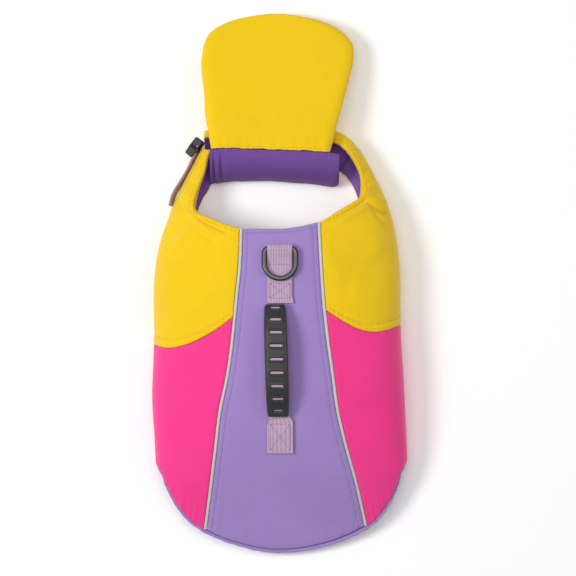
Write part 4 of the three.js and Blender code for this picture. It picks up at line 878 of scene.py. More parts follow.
for side, place in yokePlaces.items():
    heights = yokeHeights(side)
    s, t = closeEnds(yokeForm["columns"], 0.6), closeEnds(yokeForm["rows"], 0.75)
    outer, inner, flat = panelPoints(place, s, t, heights, yokeThick(s))
    verts, quads, cloth = wallOf(outer, inner, flat)
    piece = putMesh("yoke_" + side + "_cloth", verts, quads, "yellow", "yellow_cloth", cloth,
                    stands=["yoke_" + side])
    scallopS = np.linspace(0.02, yokeForm["scallopRows"] / (len(yokes[side]["neckX"]) - 1), 300)
    scallopT = 1 - yokeForm["scallopHem"] / yokeForm["reach"]
    neckS, neckT = np.linspace(0.02, 0.985, 500), yokeForm["neckHem"] / yokeForm["reach"]
    rows = [stitchRow(*lineOn(place, scallopS, scallopT, heights), 3.6, 2.6),
            stitchRow(*lineOn(place, neckS, neckT, heights), 3.6, 2.6)]
    putStitches("yoke_" + side + "_stitches", rows, "yellowThread", "yellow_cloth")
print("yokes are made")


# Flanks

hemLines = {
    "left": {
        "x": [-88.5, -113, -121, -113.5, -106, -98, -88, -75],
        "y": [-168, -175, -187, -203, -217, -229, -239.5, -248.5],
        "under": [True, True, False, False, False, False, False, False],
    },
    "right": {
        "x": [88.5, 115, 123.5, 118, 111, 104, 96.5, 87],
        "y": [-168, -174, -186, -202, -217, -227.5, -236.5, -244.5],
        "under": [True, True, False, False, False, False, False, False],
    },
}
flankForm = {"columns": 122, "rows": 122, "across": 165, "along": 170, "scallopGap": 0.45}
flankCreases = {
    "left": [
        (-120, -90, -84, -82, 9, 0.7), (-118, -128, -78, -140, 10, -0.8), (-112, -172, -80, -166, 9, 0.8),
        (-60, -70, -96, -74, 7, -0.5), (-104, -205, -80, -196, 7, 0.7), (-118, -150, -92, -156, 6, 0.6),
    ],
    "right": [
        (116, -76, 84, -70, 9, 0.7), (118, -112, 78, -124, 10, -0.8), (118, -158, 84, -150, 9, 0.8),
        (60, -60, 92, -62, 7, -0.5), (112, -200, 88, -190, 7, 0.7), (120, -136, 96, -142, 6, 0.6),
    ],
}


# A flank is the patch between the yoke's scallop, the hem, the piped seam and the belly seam
def flankPlace(side):
    sign = -1 if side == "left" else 1
    share = yokeForm["scallopRows"] / (len(yokes[side]["neckX"]) - 1)
    hem = hemLines[side]
    hemCurve = evenCurve(flatOf(hem), 0, channel * 1.3)

    # just behind the yoke's scallop
    def front(s):
        at = yokePlaces[side](np.asarray(s, float) * share, np.ones_like(np.asarray(s, float)))
        return at - np.array([0, flankForm["scallopGap"]])

    frontY = float(front(0.0)[..., 1]), float(front(1.0)[..., 1])
    start = seamEdge(side, frontY[0], hem["y"][-1], sign * channel)
    finishY = np.linspace(frontY[1], hem["y"][0], 60)
    finishU = girthOf(np.full(60, sign * yokeForm["bellySeamX"]), finishY, True)

    # along the belly seam
    def finish(t):
        y = frontY[1] + (hem["y"][0] - frontY[1]) * np.asarray(t, float)
        return np.stack([np.interp(-y, -finishY, finishU), y], -1)

    # along the hem, from the spine outward
    def back(s):
        return hemCurve(1 - np.asarray(s, float))

    return patchOf(front, back, start, finish)


# Rounded edges, gathers at hem, scallop and seam, and the listed creases, all fading at the floor
def flankHeights(side):
    start = 0.4 if side == "left" else 2.2

    def at(s, t, base):
        across, along = flankForm["across"], flankForm["along"]
        fromSeam, fromBelly, fromScallop, fromHem = s * across, (1 - s) * across, t * along, (1 - t) * along
        dip = np.maximum.reduce([edgeDip(fromSeam, 1.7, 5), edgeDip(fromBelly, 1.0, 5),
                                 edgeDip(fromScallop, 2.2, 5), edgeDip(fromHem, 2.2, 7)])
        gathers = (puckers(s * across, fromHem, 0.8, 11, 12, start)
                   + puckers(s * across, fromScallop, 0.5, 9, 9, start + 1)
                   + puckers(t * along, fromSeam, 0.45, 10, 10, start))
        extra = creases(base, flankCreases[side]) + gathers + swell(base, 0.6, 70, start)
        return dip, extra * smoothStep(base[..., 2], 4, 14)

    return at


for side in hemLines:
    outer, inner, flat = panelPoints(flankPlace(side), closeEnds(flankForm["columns"], 0.7),
                                     closeEnds(flankForm["rows"], 0.7), flankHeights(side), shell["thick"])
    verts, quads, cloth = wallOf(outer, inner, flat)
    piece = putMesh("flank_" + side + "_cloth", verts, quads, "pink", "pink_cloth", cloth,
                    stands=["flank_" + side])
print("flanks are made")


# Hem roll: the lining turned out round the tail

hemRoll = {
    "shares": (0.36, 0.30, 0.34),  # of its length along the left flank, the tail and the right flank
    "rows": 520,
    "flat": (0.01, 0.45),
    "profile": [(0.5, -3.4), (0.9, -2.1), (1.7, -1.2), (2.6, -1.4), (3.4, -2.2), (3.95, -3.4), (4.1, -4.6),
                (3.7, -5.9), (2.9, -6.9), (1.9, -7.5), (1.0, -7.5), (0.5, -7.0), (0.45, -6.0), (0.45, -4.8)],
}
hemCurves = [evenCurve(flatOf(hemLines["left"])), evenCurve(tailPoints), evenCurve(flatOf(hemLines["right"]))]
share = np.linspace(0, 1, hemRoll["rows"])
joins = np.cumsum((0,) + hemRoll["shares"])
alongEach = [np.clip((share - joins[k]) / hemRoll["shares"][k], 0, 1) for k in range(3)]
onLeft, onTail = (share <= joins[1])[:, None], (share <= joins[2])[:, None]
hemLine = np.where(onTail, hemCurves[1](alongEach[1]), hemCurves[2](1 - alongEach[2]))
hemLine = np.where(onLeft, hemCurves[0](alongEach[0]), hemLine)
ahead = np.gradient(hemLine, axis=0)
kernel = np.hanning(17) / np.hanning(17).sum()  # the hem's direction is smoothed over its joins
ahead = np.stack([np.convolve(np.pad(ahead[:, k], 8, mode="edge"), kernel, "valid") for k in (0, 1)], -1)
outward = unit(np.stack([ahead[:, 1], -ahead[:, 0]], -1))
hemReach = reachOf(hemLine)
out, height = np.array(hemRoll["profile"]).T
gather = unevenWave(hemReach, 13.0, 0.7)[:, None]
spread = out * (1 + 0.04 * gather * (out > 1.5))
place = hemLine[:, None] + outward[:, None] * spread[..., None]
lifted = height + 0.3 * gather * (out > 0.9)
rings = (formPoint(place[..., 0], place[..., 1])
         + formNormal(hemLine[:, 0], hemLine[:, 1])[:, None] * lifted[..., None])
verts, quads, cloth = skinOf(rings)
piece = putMesh("hemRoll", verts, quads, "lavender", "lavender_cloth", cloth, stands=["hem_roll"])
print("hem roll is made, length", round(float(hemReach[-1])))


# Linings of the arms

armLining = {
    "fromRib": 0.51,
    "toRib": 0.997,
    "edge": 0.016,  # share left bare at neck and leg opening
    "gap": 0.3,
    "thick": 1.2,
    "columns": 84,
    "rows": 60,
    "flat": (0.05, 0.165),
    "area": 0.0054,
}
for side, place in yokePlaces.items():
    s = np.linspace(armLining["fromRib"], armLining["toRib"], armLining["columns"])
    grid = np.meshgrid(s, np.linspace(armLining["edge"], 1 - armLining["edge"], armLining["rows"]))
    flat = place(*grid)
    base, normal = formAt(flat)
    dip = yokeHeights(side)(grid[0], grid[1], base)[0]
    fromEdge = np.minimum(grid[1], 1 - grid[1]) * yokeForm["reach"]
    folds = (0.5 * unevenWave(grid[0] * yokeForm["girth"], 17.0, 1.3) * (1 - np.exp(-fromEdge / 14))
             + puckers(grid[0] * yokeForm["girth"], fromEdge, 0.35, 7, 5, 2.0))
    top = (dip * 0.7 - yokeThick(grid[0]) - armLining["gap"] - np.maximum(folds, -0.25) * 0.5)[..., None]
    verts, quads, cloth = wallOf(base + normal * top, base + normal * (top - armLining["thick"]), flat)
    piece = putMesh("lining_" + side + "_cloth", verts, quads, "lining", "purple_lining", cloth,
                    stands=["lining_" + side])
print("arm linings are made")


# Front band, across the chest below the float

frontBand = {
    "up": [(60.5, 138, 34), (51, 142, 31), (36, 144, 28.5), (0, 145, 28), (-38, 146, 28), (-64, 147, 28),
           (-75.5, 147, 28)],
    "out": [(69, 143, 19), (56.5, 150.5, 17), (38, 153.5, 16), (0, 154.5, 15.5), (-40, 154.5, 15.5),
            (-65, 153, 16), (-76.5, 151, 16)],
    "low": [(53, 114.5, 2), (44, 117, 2), (32, 119, 2), (0, 120, 2), (-38, 122, 2), (-64, 125, 2),
            (-75, 130, 2)],
    "length": 190,
    "girth": 78,
    "thick": 5,
    "seamShare": 0.16,  # how far the seam at the yoke shapes the band
    "from": 0.004,  # share left open at the seam
    "columns": 180,
    "rows": 76,
    "liningFlat": (0.05, 0.15),
}


# Centripetal Catmull-Rom curve: slopes from chords over the square roots of their lengths
def roundedLine(points, share):
    points = np.asarray(points, float)
    padded = np.concatenate([2 * points[:1] - points[1:2], points, 2 * points[-1:] - points[-2:-1]])
    at = np.clip(np.asarray(share, float), 0, 1) * (len(points) - 1)
    i = np.minimum(at.astype(int), len(points) - 2)
    t = (at - i)[..., None]
    p0, p1, p2, p3 = (padded[i + k] for k in range(4))
    d0, d1, d2 = (np.sqrt(np.linalg.norm(b - a, axis=-1, keepdims=True))
                  for a, b in ((p0, p1), (p1, p2), (p2, p3)))
    v1 = ((p1 - p0) / d0 - (p2 - p0) / (d0 + d1) + (p2 - p1) / d1) * d1
    v2 = ((p2 - p1) / d1 - (p3 - p1) / (d1 + d2) + (p3 - p2) / d2) * d1
    return (2 * p1 - 2 * p2 + v1 + v2) * t ** 3 + (-3 * p1 + 3 * p2 - 2 * v1 - v2) * t ** 2 + v1 * t + p1


# Point and normal on the end of the right yoke's arm, where the band is sewn on
def yokeEndPoint(t):
    return formAt(yokePlaces["right"](np.ones_like(t), t))


bandStart = yokeEndPoint(np.array([0, 0.42, 1.0]))[0]
bandLines = [np.concatenate([bandStart[k:k + 1], np.array(frontBand[key], float)])
             for k, key in enumerate(("up", "out", "low"))]


# Each rib of the band is the parabola through its three lines
def bandRibs(s, t):
    weights = (2 * (t - 0.5) * (t - 1), 4 * t * (1 - t), 2 * t * (t - 0.5))
    return sum(roundedLine(line, s) * weight[..., None] for line, weight in zip(bandLines, weights))


# The ribs, drawn to the yoke's end near the seam by a share that falls as a square
def bandSurface(s, t):
    seamed = (np.maximum(0, 1 - s / frontBand["seamShare"]) ** 2)[..., None]
    return bandRibs(s, t) + (yokeEndPoint(t)[0] - bandRibs(np.zeros_like(s), t)) * seamed


# Unit normals of a grid of points: cross product of its two directions
def gridNormals(points):
    return unit(np.cross(np.gradient(points, axis=1), np.gradient(points, axis=0)))


s = frontBand["from"] + (1 - frontBand["from"]) * closeEnds(frontBand["columns"], 0.6)
grid = np.meshgrid(s, closeEnds(frontBand["rows"], 0.7))
base = bandSurface(*grid)
own = gridNormals(base)
own *= np.sign(own[len(own) // 2, len(own[0]) // 2, 1])  # facing forward
blend = smoothStep(grid[0], 0, 0.12)[..., None]
normal = unit(yokeEndPoint(grid[1])[1] * (1 - blend) + own * blend)
along, around = grid[0] * frontBand["length"], grid[1] * frontBand["girth"]
fromEnd, fromEdge = frontBand["length"] - along, np.minimum(around, frontBand["girth"] - around)
dip = np.maximum(edgeDip(fromEdge, 1.6, 5), edgeDip(fromEnd, 1.5, 5))
extra = (puckers(along, fromEdge - 5, 0.4, 9, 7, 0.6) - groove(fromEdge - 5, 0.4, 1.3)
         + puckers(around, along, 0.5, 11, 14, 1.0) + swell(base, 0.5, 48, 1.0))
outer = base + normal * (extra * smoothStep(fromEdge, 0, 3) - dip)[..., None]
inner = base + normal * (dip * 0.7 - frontBand["thick"] + 1.3)[..., None]
cloth = np.stack([along, around], -1)
verts, quads, clothAll = wallOf(outer, inner, cloth)
bandPiece = putMesh("frontBandCloth", verts, quads, "yellow", "yellow_cloth", clothAll, stands=["front_band"])
inside = base + normal * (dip * 0.7 - frontBand["thick"] + 1.0)[..., None]
kept = (slice(2, -2, 2), slice(0, -2, 2))  # the lining needs half the rows and ends short of the edges
verts, quads, clothAll = wallOf(inside[kept], (inside - normal)[kept], cloth[kept])
piece = putMesh("frontBandLining", verts, quads, "lining", "purple_lining", clothAll)
rows = [stitchRow(outer[row], normal[row], 3.6, 2.6) for row in (12, -13)]
putStitches("frontBandStitches", rows, "yellowThread", "yellow_cloth")
print("front band is made")


# Chest pad

chestPad = {
    "lowX": [-70, -63, -55, -42, -6, 34, 52, 59],
    "lowY": [99, 99.8, 100.6, 101.8, 101.6, 98.2, 96, 98],
    "topX": [-70, -63, -55, -42, -6, 34, 52, 59.5],
    "topY": [133, 133.6, 134.2, 134, 132.6, 131.2, 129.6, 128],
    "lowZ": 5,
    "topZ": 46,
    "thick": 8.5,
    "length": 134,
    "girth": 60,
    "foldDepth": 2.6,
    "folds": [
        # place in sevenths of the length, half width in sevenths, share of the depth
        (0.7, 0.2, 1.0), (1.65, 0.26, 0.7), (1.15, 0.22, -0.35), (3.6, 0.5, 0.25), (5.4, 0.45, 0.2),
    ],
    "columns": 180,
    "rows": 80,
    "stitchedRow": -13,
}


# The pad's face is a quarter round from its lower edge to its upper edge
def padPoint(s, t):
    low = splineAt(np.stack([chestPad["lowX"], chestPad["lowY"]], -1).astype(float), s)
    top = splineAt(np.stack([chestPad["topX"], chestPad["topY"]], -1).astype(float), s)
    turn = np.asarray(t, float) * np.pi / 2
    flat = low + (top - low) * (1 - np.cos(turn))[..., None]
    rise = chestPad["lowZ"] + (chestPad["topZ"] - chestPad["lowZ"]) * np.sin(turn)
    return np.concatenate([flat, rise[..., None]], -1)


grid = np.meshgrid(closeEnds(chestPad["columns"], 0.7), closeEnds(chestPad["rows"], 0.65))
base = padPoint(*grid)
turn = grid[1] * np.pi / 2
normal = unit(np.stack([np.zeros_like(turn), -np.cos(turn), np.sin(turn) * 0.8], -1))
along, around = grid[0] * chestPad["length"], grid[1] * chestPad["girth"]
fromRight, fromTop = chestPad["length"] - along, chestPad["girth"] - around
upright = sum(depth * np.exp(-((grid[0] * 7 - at) / wide) ** 2) for at, wide, depth in chestPad["folds"])
dip = np.maximum.reduce([edgeDip(around, 2.6), edgeDip(fromTop, 1.4), edgeDip(fromRight, 2.6, 6),
                         edgeDip(along, 1.6, 5)])
extra = (puckers(along, around - 3, 0.22, 14, 8, 0.3) + puckers(along, fromTop, 0.5, 8, 7, 1.4)
         + puckers(around, fromRight, 0.45, 9, 8, 2.2) + swell(base, 0.45, 40, 0.2)
         - chestPad["foldDepth"] * upright * np.sin(grid[1] * np.pi))
outer = base + normal * (extra - dip)[..., None]
inner = base + normal * (dip * 0.7 - chestPad["thick"])[..., None]
verts, quads, cloth = wallOf(outer, inner, np.stack([along, around], -1))
# The pad's cloth is the lining taffeta with painted shade: a darker copy of the lining colour
padPiece = putMesh("chestPadCloth", verts, quads, "padShadedLining", "purple_lining", cloth, stands=["chest_pad"])
sewn = (chestPad["stitchedRow"], slice(8, -8))
putStitches("chestPadStitches", [stitchRow(outer[sewn], normal[sewn], 3.4, 2.5)], "liningThread",
            "purple_lining")
print("chest pad is made")


# Chin float: a foam paddle in a cloth cover, hinged at the chest pad's upper edge

chinFloat = {
    "y": [0, 143, 155, 167, 191, 215, 228, 239, 247.5, 254, 259.5, 264, 267.5, 270],
    "left": [-68, -70, -72.3, -74.6, -76, -78.8, -78.2, -76, -72.5, -66.5, -57, -46, -30, -12],
    "right": [49, 53, 56, 59.5, 66, 72, 73.8, 73, 67, 59.5, 49, 37, 21, 4],
    "height": 43.5,
    "fall": 0.2,
    "thick": 14,
    "length": 142,
    "rim": 1.4,  # half thickness left at the sewn edge
    "hingeRim": 3.0,
    "edgeReach": 11,
    "hingeStitches": 4.5,  # from the hinge
    "columns": 144,
    "rows": 150,
}


# The hinge runs just in front of the pad's upper edge
def hingeY(x):
    return np.interp(x, chestPad["topX"], chestPad["topY"]) + 0.4


sides = []
for key in ("left", "right"):
    points = np.stack([chinFloat[key], chinFloat["y"]], -1).astype(float)
    points[0, 1] = hingeY(points[0, 0])
    sides.append(evenCurve(points))
grid = np.meshgrid(closeEnds(chinFloat["columns"], 0.8), closeEnds(chinFloat["rows"], 0.8))
left, right = sides[0](grid[1]), sides[1](grid[1])
wide = np.linalg.norm(right - left, axis=-1)
place = left + (right - left) * grid[0][..., None]
settle = np.maximum(0, 1 - grid[1] / 0.09) ** 2
wavyHinge = 0.55 * unevenWave(place[..., 0], 23, 0.9) + 0.3 * unevenWave(place[..., 0], 8, 2.1)
place[..., 1] += (hingeY(place[..., 0]) + wavyHinge - place[..., 1]) * settle
full, fromHinge = chinFloat["thick"] / 2, grid[1] * chinFloat["length"]
edges = [grid[0] * wide, (1 - grid[0]) * wide, chinFloat["length"] - fromHinge]
fromRim = np.minimum.reduce(edges)
dip = np.maximum(edgeDip(fromRim, full - chinFloat["rim"], chinFloat["edgeReach"]),
                 edgeDip(fromHinge, full - chinFloat["hingeRim"], 7))
around = np.arctan2(place[..., 1] - 200, place[..., 0]) * 75  # run of the rim, seen from the paddle's middle
extra = (puckers(around, fromRim - 3, 0.35, 8, 6, 0.4) + swell(place, 0.4, 66, 0.3)
         - groove(fromHinge - chinFloat["hingeStitches"], 0.8, 1.8)
         + puckers(place[..., 0], fromHinge - 6, 0.3, 11, 5, 1.0))
middle = chinFloat["height"] - chinFloat["fall"] * (place[..., 1] - 133)
upper, lower = (np.concatenate([place, (middle + sign * (full - dip + extra))[..., None]], -1)
                for sign in (1, -1))
verts, quads, cloth = wallOf(upper, lower, place)
floatPiece = putMesh("chinFloatCover", verts, quads, "yellow", "yellow_cloth", cloth, stands=["chin_float"])
straightUp = np.zeros_like(upper)
straightUp[..., 2] = 1
sewn = (int(np.argmin(np.abs(fromHinge[:, 0] - chinFloat["hingeStitches"]))), slice(6, -6))
putStitches("chinFloatStitches", [stitchRow(upper[sewn], straightUp[sewn], 3.6, 2.7)], "yellowThread",
            "yellow_cloth")
print("chin float is made")


# Belly wings, lapped over each other and pressed up over the belts

beltRows = {"front": -30, "rear": -118}
beltBuckle = {"x": -20, "halfLength": 26, "halfWidth": 17, "thick": 7}
strap = {"width": 24.6, "thick": 1.4, "reach": 84}
wings = {
    "thick": 5,
    "reach": 22,  # how far a wing passes the middle
    "frontY": 22,
    "backY": -168,
    "edgeX": 88.5 - shell["seamGap"] - 1.3,
    "lifted": {"left": 0, "right": 5.6},
    "lapFall": 30,  # over which the lifted wing comes down again
    "flatTo": 40,  # the floor of the form is level up to here
    "columns": 80,
    "rows": 110,
}


# Height that the belts press into a wing: a smooth ramp beside each strap and round each buckle
def pressedUp(x, y):
    height = np.zeros_like(x)
    for beltY in beltRows.values():
        onBelt = 1 - smoothStep(np.abs(y - beltY), beltBuckle["halfWidth"] + 0.5, beltBuckle["halfWidth"] + 7)
        away = np.abs(x - beltBuckle["x"])
        onBuckle = 1 - smoothStep(away, beltBuckle["halfLength"] + 0.5, beltBuckle["halfLength"] + 7)
        height += onBelt * (strap["thick"] + 0.4 + onBuckle * (beltBuckle["thick"] - strap["thick"]))
    return height


for side, sign in (("left", -1), ("right", 1)):
    xs = -wings["reach"] + (wings["edgeX"] + wings["reach"]) * closeEnds(wings["columns"], 0.7)
    ys = wings["backY"] + (wings["frontY"] - wings["backY"]) * closeEnds(wings["rows"], 0.6)
    x, y = np.meshgrid(sign * xs, ys)
    inward, outward = sign * x + wings["reach"], wings["edgeX"] - sign * x
    front, back = wings["frontY"] - y, y - wings["backY"]
    fromEdge = np.minimum.reduce([front, back, inward])
    dip = np.maximum(edgeDip(fromEdge, 1.4), edgeDip(outward, 0.8))
    onLap = 1 - smoothStep(sign * x, wings["reach"] + 0.5, wings["reach"] + wings["lapFall"])
    underForm = formPoint(girthOf(x, y, True), y)[..., 2]
    level = np.where(np.abs(x) < wings["flatTo"], 0, underForm)
    floor = level + pressedUp(x, y) + wings["lifted"][side] * onLap
    extra = (puckers(x, np.minimum(front, back) - 4, 0.5, 10, 9, 0.5)
             + puckers(y, inward - 4, 0.5, 11, 9, 1.5) + puckers(y, outward, 0.5, 10, 9, 2.4)
             - groove(fromEdge - 6, 0.5, 1.5)
             + swell(np.stack([x, y], -1), 0.5, 55, 0.8))
    upper = np.stack([x, y, floor + wings["thick"] - dip * 0.7 + np.maximum(extra, -1.5)], -1)
    lower = np.stack([x, y, floor + dip * 0.6], -1)
    verts, quads, cloth = wallOf(upper, lower, np.stack([x, y], -1))
    piece = putMesh("wing_" + side + "_cloth", verts, quads, "pink", "pink_cloth", cloth,
                    stands=["wing_" + side])
print("belly wings are made")


# Straps: bars of webbing with soft edges

strapSection = softSection(36, 9.0)


# A strap follows its middle line, wide along the direction that is given as across
def putStrap(name, points, across, width, thick, stands):
    rings = barRings(points, across, width, thick, strapSection)
    verts, quads, cloth = skinOf(rings)
    piece = putMesh(name, verts, quads, "webbing", "webbing", cloth, stands=stands)
    return piece


# Square of stitches with a cross in it, on a level or sloping strap; heightAt gives its surface
def boxCross(x0, x1, y0, y1, heightAt, up=1):
    rows = []
    ends = [((x0, y0), (x1, y0)), ((x1, y0), (x1, y1)), ((x1, y1), (x0, y1)), ((x0, y1), (x0, y0)),
            ((x0, y0), (x1, y1)), ((x0, y1), (x1, y0))]
    for (ax, ay), (bx, by) in ends:
        x, y = np.linspace(ax, bx, 40), np.linspace(ay, by, 40)
        normals = np.zeros((40, 3))
        normals[:, 2] = up
        rows.append(stitchRow(np.stack([x, y, heightAt(x, y)], -1), normals, 2.6, 2.0, 0.6))
    return rows


# The belts' outer face lies level, just over the floor
def beltFace(x, y):
    return np.full_like(x, 0.32)


for belt, beltY in beltRows.items():
    start, end = beltBuckle["x"] - beltBuckle["halfLength"], beltBuckle["x"] + beltBuckle["halfLength"]
    rows = []
    for side, fromX, toX in (("left", -strap["reach"], start + 4.5), ("right", end - 4.5, strap["reach"])):
        x = np.linspace(fromX, toX, 70)
        atBuckle = np.abs(x - beltBuckle["x"]) - beltBuckle["halfLength"]
        rise = 2.4 * (1 - smoothStep(atBuckle, -3, 9))
        points = np.stack([x, np.full(70, float(beltY)), 0.9 + rise], -1)
        putStrap(f"belt_{side}_{belt}_strap", points, (0, 1, 0), strap["width"], 1.2, [f"belt_{side}_{belt}"])
        sewnX = (-80, -60) if side == "left" else (60, 80)
        rows += boxCross(*sewnX, beltY - 9, beltY + 9, beltFace, up=-1)
    putStitches(f"belt_{belt}_stitches", rows, "webbingThread", "webbing")
print("belly belts are made")


# Side-release buckles

# Plate with soft edges whose outline has a half width at each x, the same to both sides
def plateOf(x, half, low, high, soft=0.7, centreY=0.0):
    outline = np.concatenate([np.stack([x, half], -1), np.stack([x, -half], -1)[::-1]])
    ahead = np.roll(outline, -1, axis=0) - np.roll(outline, 1, axis=0)
    inward = unit(np.stack([ahead[:, 1], -ahead[:, 0]], -1))
    levels = [(low, 1), (low + 0.15 * soft, 0.55), (low + 0.5 * soft, 0.15), (low + soft, 0),
              (high - soft, 0), (high - 0.5 * soft, 0.15), (high - 0.15 * soft, 0.55), (high, 1)]
    rings = [np.concatenate([outline + inward * soft * inset, np.full((len(outline), 1), float(z))], -1)
             for z, inset in levels]
    rings = np.array(rings) + np.array([0, centreY, 0])
    return skinOf(rings)[:2]


# x and half width of a rectangle with rounded corners
def roundedPlate(fromX, toX, width, radius, count=40):
    x = fromX + (toX - fromX) * closeEnds(count, 0.9)
    near = np.minimum(np.minimum(x - fromX, toX - x), radius)
    return x, width / 2 - radius + np.sqrt(np.maximum(0, radius ** 2 - (radius - near) ** 2)) + 0.02


# Bar that the webbing goes round, and the two rails that hold it past the slot
def strapBar(barFrom, barTo, railFrom, railTo, width, thick):
    bar = plateOf(*roundedPlate(barFrom, barTo, width, 1.4, 24), 0.6, thick - 0.6, 1.1)
    return [bar] + [plateOf(*roundedPlate(railFrom, railTo, 4, 0.6, 16), 0.5, thick - 0.5, 0.8,
                            sign * (width / 2 - 2)) for sign in (-1, 1)]


# Socket: a hollow-looking body with two side windows, and a bar for the webbing behind a slot
def socketBodies(length, width, thick):
    slotX, barX = -length / 2 + 3.0, -length / 2 + 6.0
    x, half = roundedPlate(barX, length / 2, width, 2.5, 60)
    window = np.exp(-np.abs((x - barX - (length / 2 - barX) * 0.52) / ((length / 2 - barX) * 0.27)) ** 4)
    body = plateOf(x, half - window * width * 0.13, 0, thick, 0.9)
    ridge = [plateOf(*roundedPlate(barX + 3 + 2.2 * k, barX + 4.2 + 2.2 * k, width * 0.42, 0.55, 12), 0.2,
                     thick + 0.35, 0.3) for k in range(3)]
    bar = strapBar(-length / 2, slotX, -length / 2 + 1, barX + 1.5, width, thick)
    return [body] + ridge + bar


# Plug: a base with a slot for the webbing and two sprung arms whose bowed ends fill the socket's windows
def plugBodies(length, width, thick, armReach):
    slotX, barX = length / 2 - 3.0, length / 2 - 6.0
    base = plateOf(*roundedPlate(-length / 2, barX, width, 2.0, 40), 0.4, thick - 0.4, 0.9)
    bar = strapBar(slotX, length / 2, barX - 1.5, length / 2 - 1, width, thick)
    arms = []
    for sign in (-1, 1):
        x = -length / 2 - armReach + (armReach + 3) * np.linspace(0, 1, 40)
        t = (x - x[0]) / (x[-1] - x[0])
        half = 1.0 + 1.6 * np.exp(-((t - 0.3) / 0.22) ** 2) * smoothStep(t, 0, 0.06)
        arms.append(plateOf(x, half, 1.0, thick - 1.0, 0.6, sign * (width / 2 - 1.0)))
    return [base] + bar + arms


for belt, beltY in beltRows.items():
    half, wide, thick = beltBuckle["halfLength"], 2 * beltBuckle["halfWidth"], beltBuckle["thick"]
    split = 0.1 * half
    socketLength, plugLength = half + split - 0.15, half - split - 0.15
    centres = (beltBuckle["x"] - (half - split) / 2 - 0.075, beltBuckle["x"] + (half + split) / 2 + 0.075)
    verts, quads = joined(socketBodies(socketLength, wide, thick - 0.35))
    putMesh(f"belt_socket_{belt}_shell", verts + (centres[0], beltY, 0), quads, "plastic", "black_plastic",
            stands=[f"belt_socket_{belt}"])
    verts, quads = joined(plugBodies(plugLength, wide - 4, thick, socketLength * 0.62))
    putMesh(f"belt_plug_{belt}_prongs", verts + (centres[1], beltY, 0), quads, "plastic", "black_plastic",
            stands=[f"belt_plug_{belt}"])
print("belly buckles are made")


# Neck webbing on edge, and the neck buckle

neckStrap = {
    "x": [-109.5, -106, -99.5, -93, -88.6, -85.3, -82.4, -80.6],
    "y": [77, 89, 100, 110.5, 119.4, 126.0, 131.6, 137.0],
    "low": 9,
    "width": 20,
    "lean": 0.2,  # the upper edge stands further out
    "flat": (0.02, 0.067),
}
curve = evenCurve(np.stack([neckStrap["x"], neckStrap["y"]], -1).astype(float))
points = curve(np.linspace(0, 1, 60))
ahead = unit(np.gradient(points, axis=0))
across = np.stack([-ahead[:, 1] * neckStrap["lean"], ahead[:, 0] * neckStrap["lean"], np.ones(60)], -1)
points = np.concatenate([points, np.full((60, 1), neckStrap["low"] + neckStrap["width"] / 2)], -1)
putStrap("neckStrap", points, across, neckStrap["width"], 1.5, ["neck_webbing"])

neckBuckle = {
    "length": 20,
    "width": 20,
    "thick": 7,
    "centre": (-85.4, 135.6, 20),
    "along": (-0.6, -0.8, 0),
    "tilt": 84,
    "socketShare": 0.58,
    "bulge": 1.55,  # the moulded body swells past its flat thickness
}


# Turns a buckle half that lies flat into the neck buckle's place: its strap runs along the arm, on edge
def atNeck(verts, shift):
    along = np.array(neckBuckle["along"])
    tilt = np.radians(neckBuckle["tilt"])
    out = np.array([along[1], -along[0], 0])
    acrossAxis = out * np.cos(tilt) + np.array([0, 0, np.sin(tilt)])
    through = np.cross(along, acrossAxis)
    local = (verts - (0, 0, neckBuckle["thick"] / 2)) * (1, 1, neckBuckle["bulge"]) + (shift, 0, 0)
    return local @ np.stack([along, acrossAxis, through]) + np.array(neckBuckle["centre"])


length, wide, thick = neckBuckle["length"], neckBuckle["width"], neckBuckle["thick"]
share = neckBuckle["socketShare"]
verts, quads = joined(socketBodies(length * share - 0.3, wide, thick - 0.35))
putMesh("neckSocketShell", atNeck(verts * (-1, -1, 1), length * (1 - share) / 2), quads, "plastic",
        "black_plastic", stands=["neck_socket"])
verts, quads = joined(plugBodies(length * (1 - share), wide - 3, thick, length * share * 0.55))
putMesh("neckPlugProngs", atNeck(verts * (-1, -1, 1), -length * share / 2), quads, "plastic", "black_plastic",
        stands=["neck_plug"])
print("neck webbing and buckle are made")


# Leash ring and the webbing folded round its bar

ringForm = {
    "wire": 5,
    "width": 36,
    "barY": 34,
    "farY": 2,
    "corner": 4.5,
    "bore": 2.9,
    "strapX": -0.2,
    "strapEndY": -20,
    "strapFlat": (0.0246, 0.125),
}


# Height of the form's back over a place
def backHeight(x, y):
    x, y = np.broadcast_arrays(np.asarray(x, float), np.asarray(y, float))
    return formPoint(girthOf(x, y), y)[..., 2]


barZ = float(backHeight(0, ringForm["barY"])) + 0.3 + strap["thick"] + ringForm["bore"]
half, far = (ringForm["width"] - ringForm["wire"]) / 2, ringForm["farY"] + ringForm["wire"] / 2
turn = np.pi + np.pi * np.linspace(0, 1, 49)
path = [np.stack([half * np.cos(turn), far + half + half * np.sin(turn)], -1)]
corner, barY = ringForm["corner"], ringForm["barY"]
path.append(np.stack([np.full(5, half), np.linspace(far + half, barY - corner, 7)[1:-1]], -1))
turn = np.linspace(0, np.pi / 2, 9)
path.append(np.stack([half - corner + corner * np.cos(turn), barY - corner + corner * np.sin(turn)], -1))
path.append(np.stack([np.linspace(half - corner, corner - half, 22)[1:-1], np.full(20, float(barY))], -1))
path.append(np.stack([corner - half - corner * np.sin(turn), barY - corner + corner * np.cos(turn)], -1))
path.append(np.stack([np.full(5, -half), np.linspace(barY - corner, far + half, 7)[1:-1]], -1))
path = np.concatenate(path)
restZ = float(backHeight(0, far)) + 1 + 2 * strap["thick"] + ringForm["wire"] / 2
slope = (restZ - barZ) / (barY - far)
centre = np.concatenate([path, (barZ + slope * (barY - path[:, 1]))[:, None]], -1)
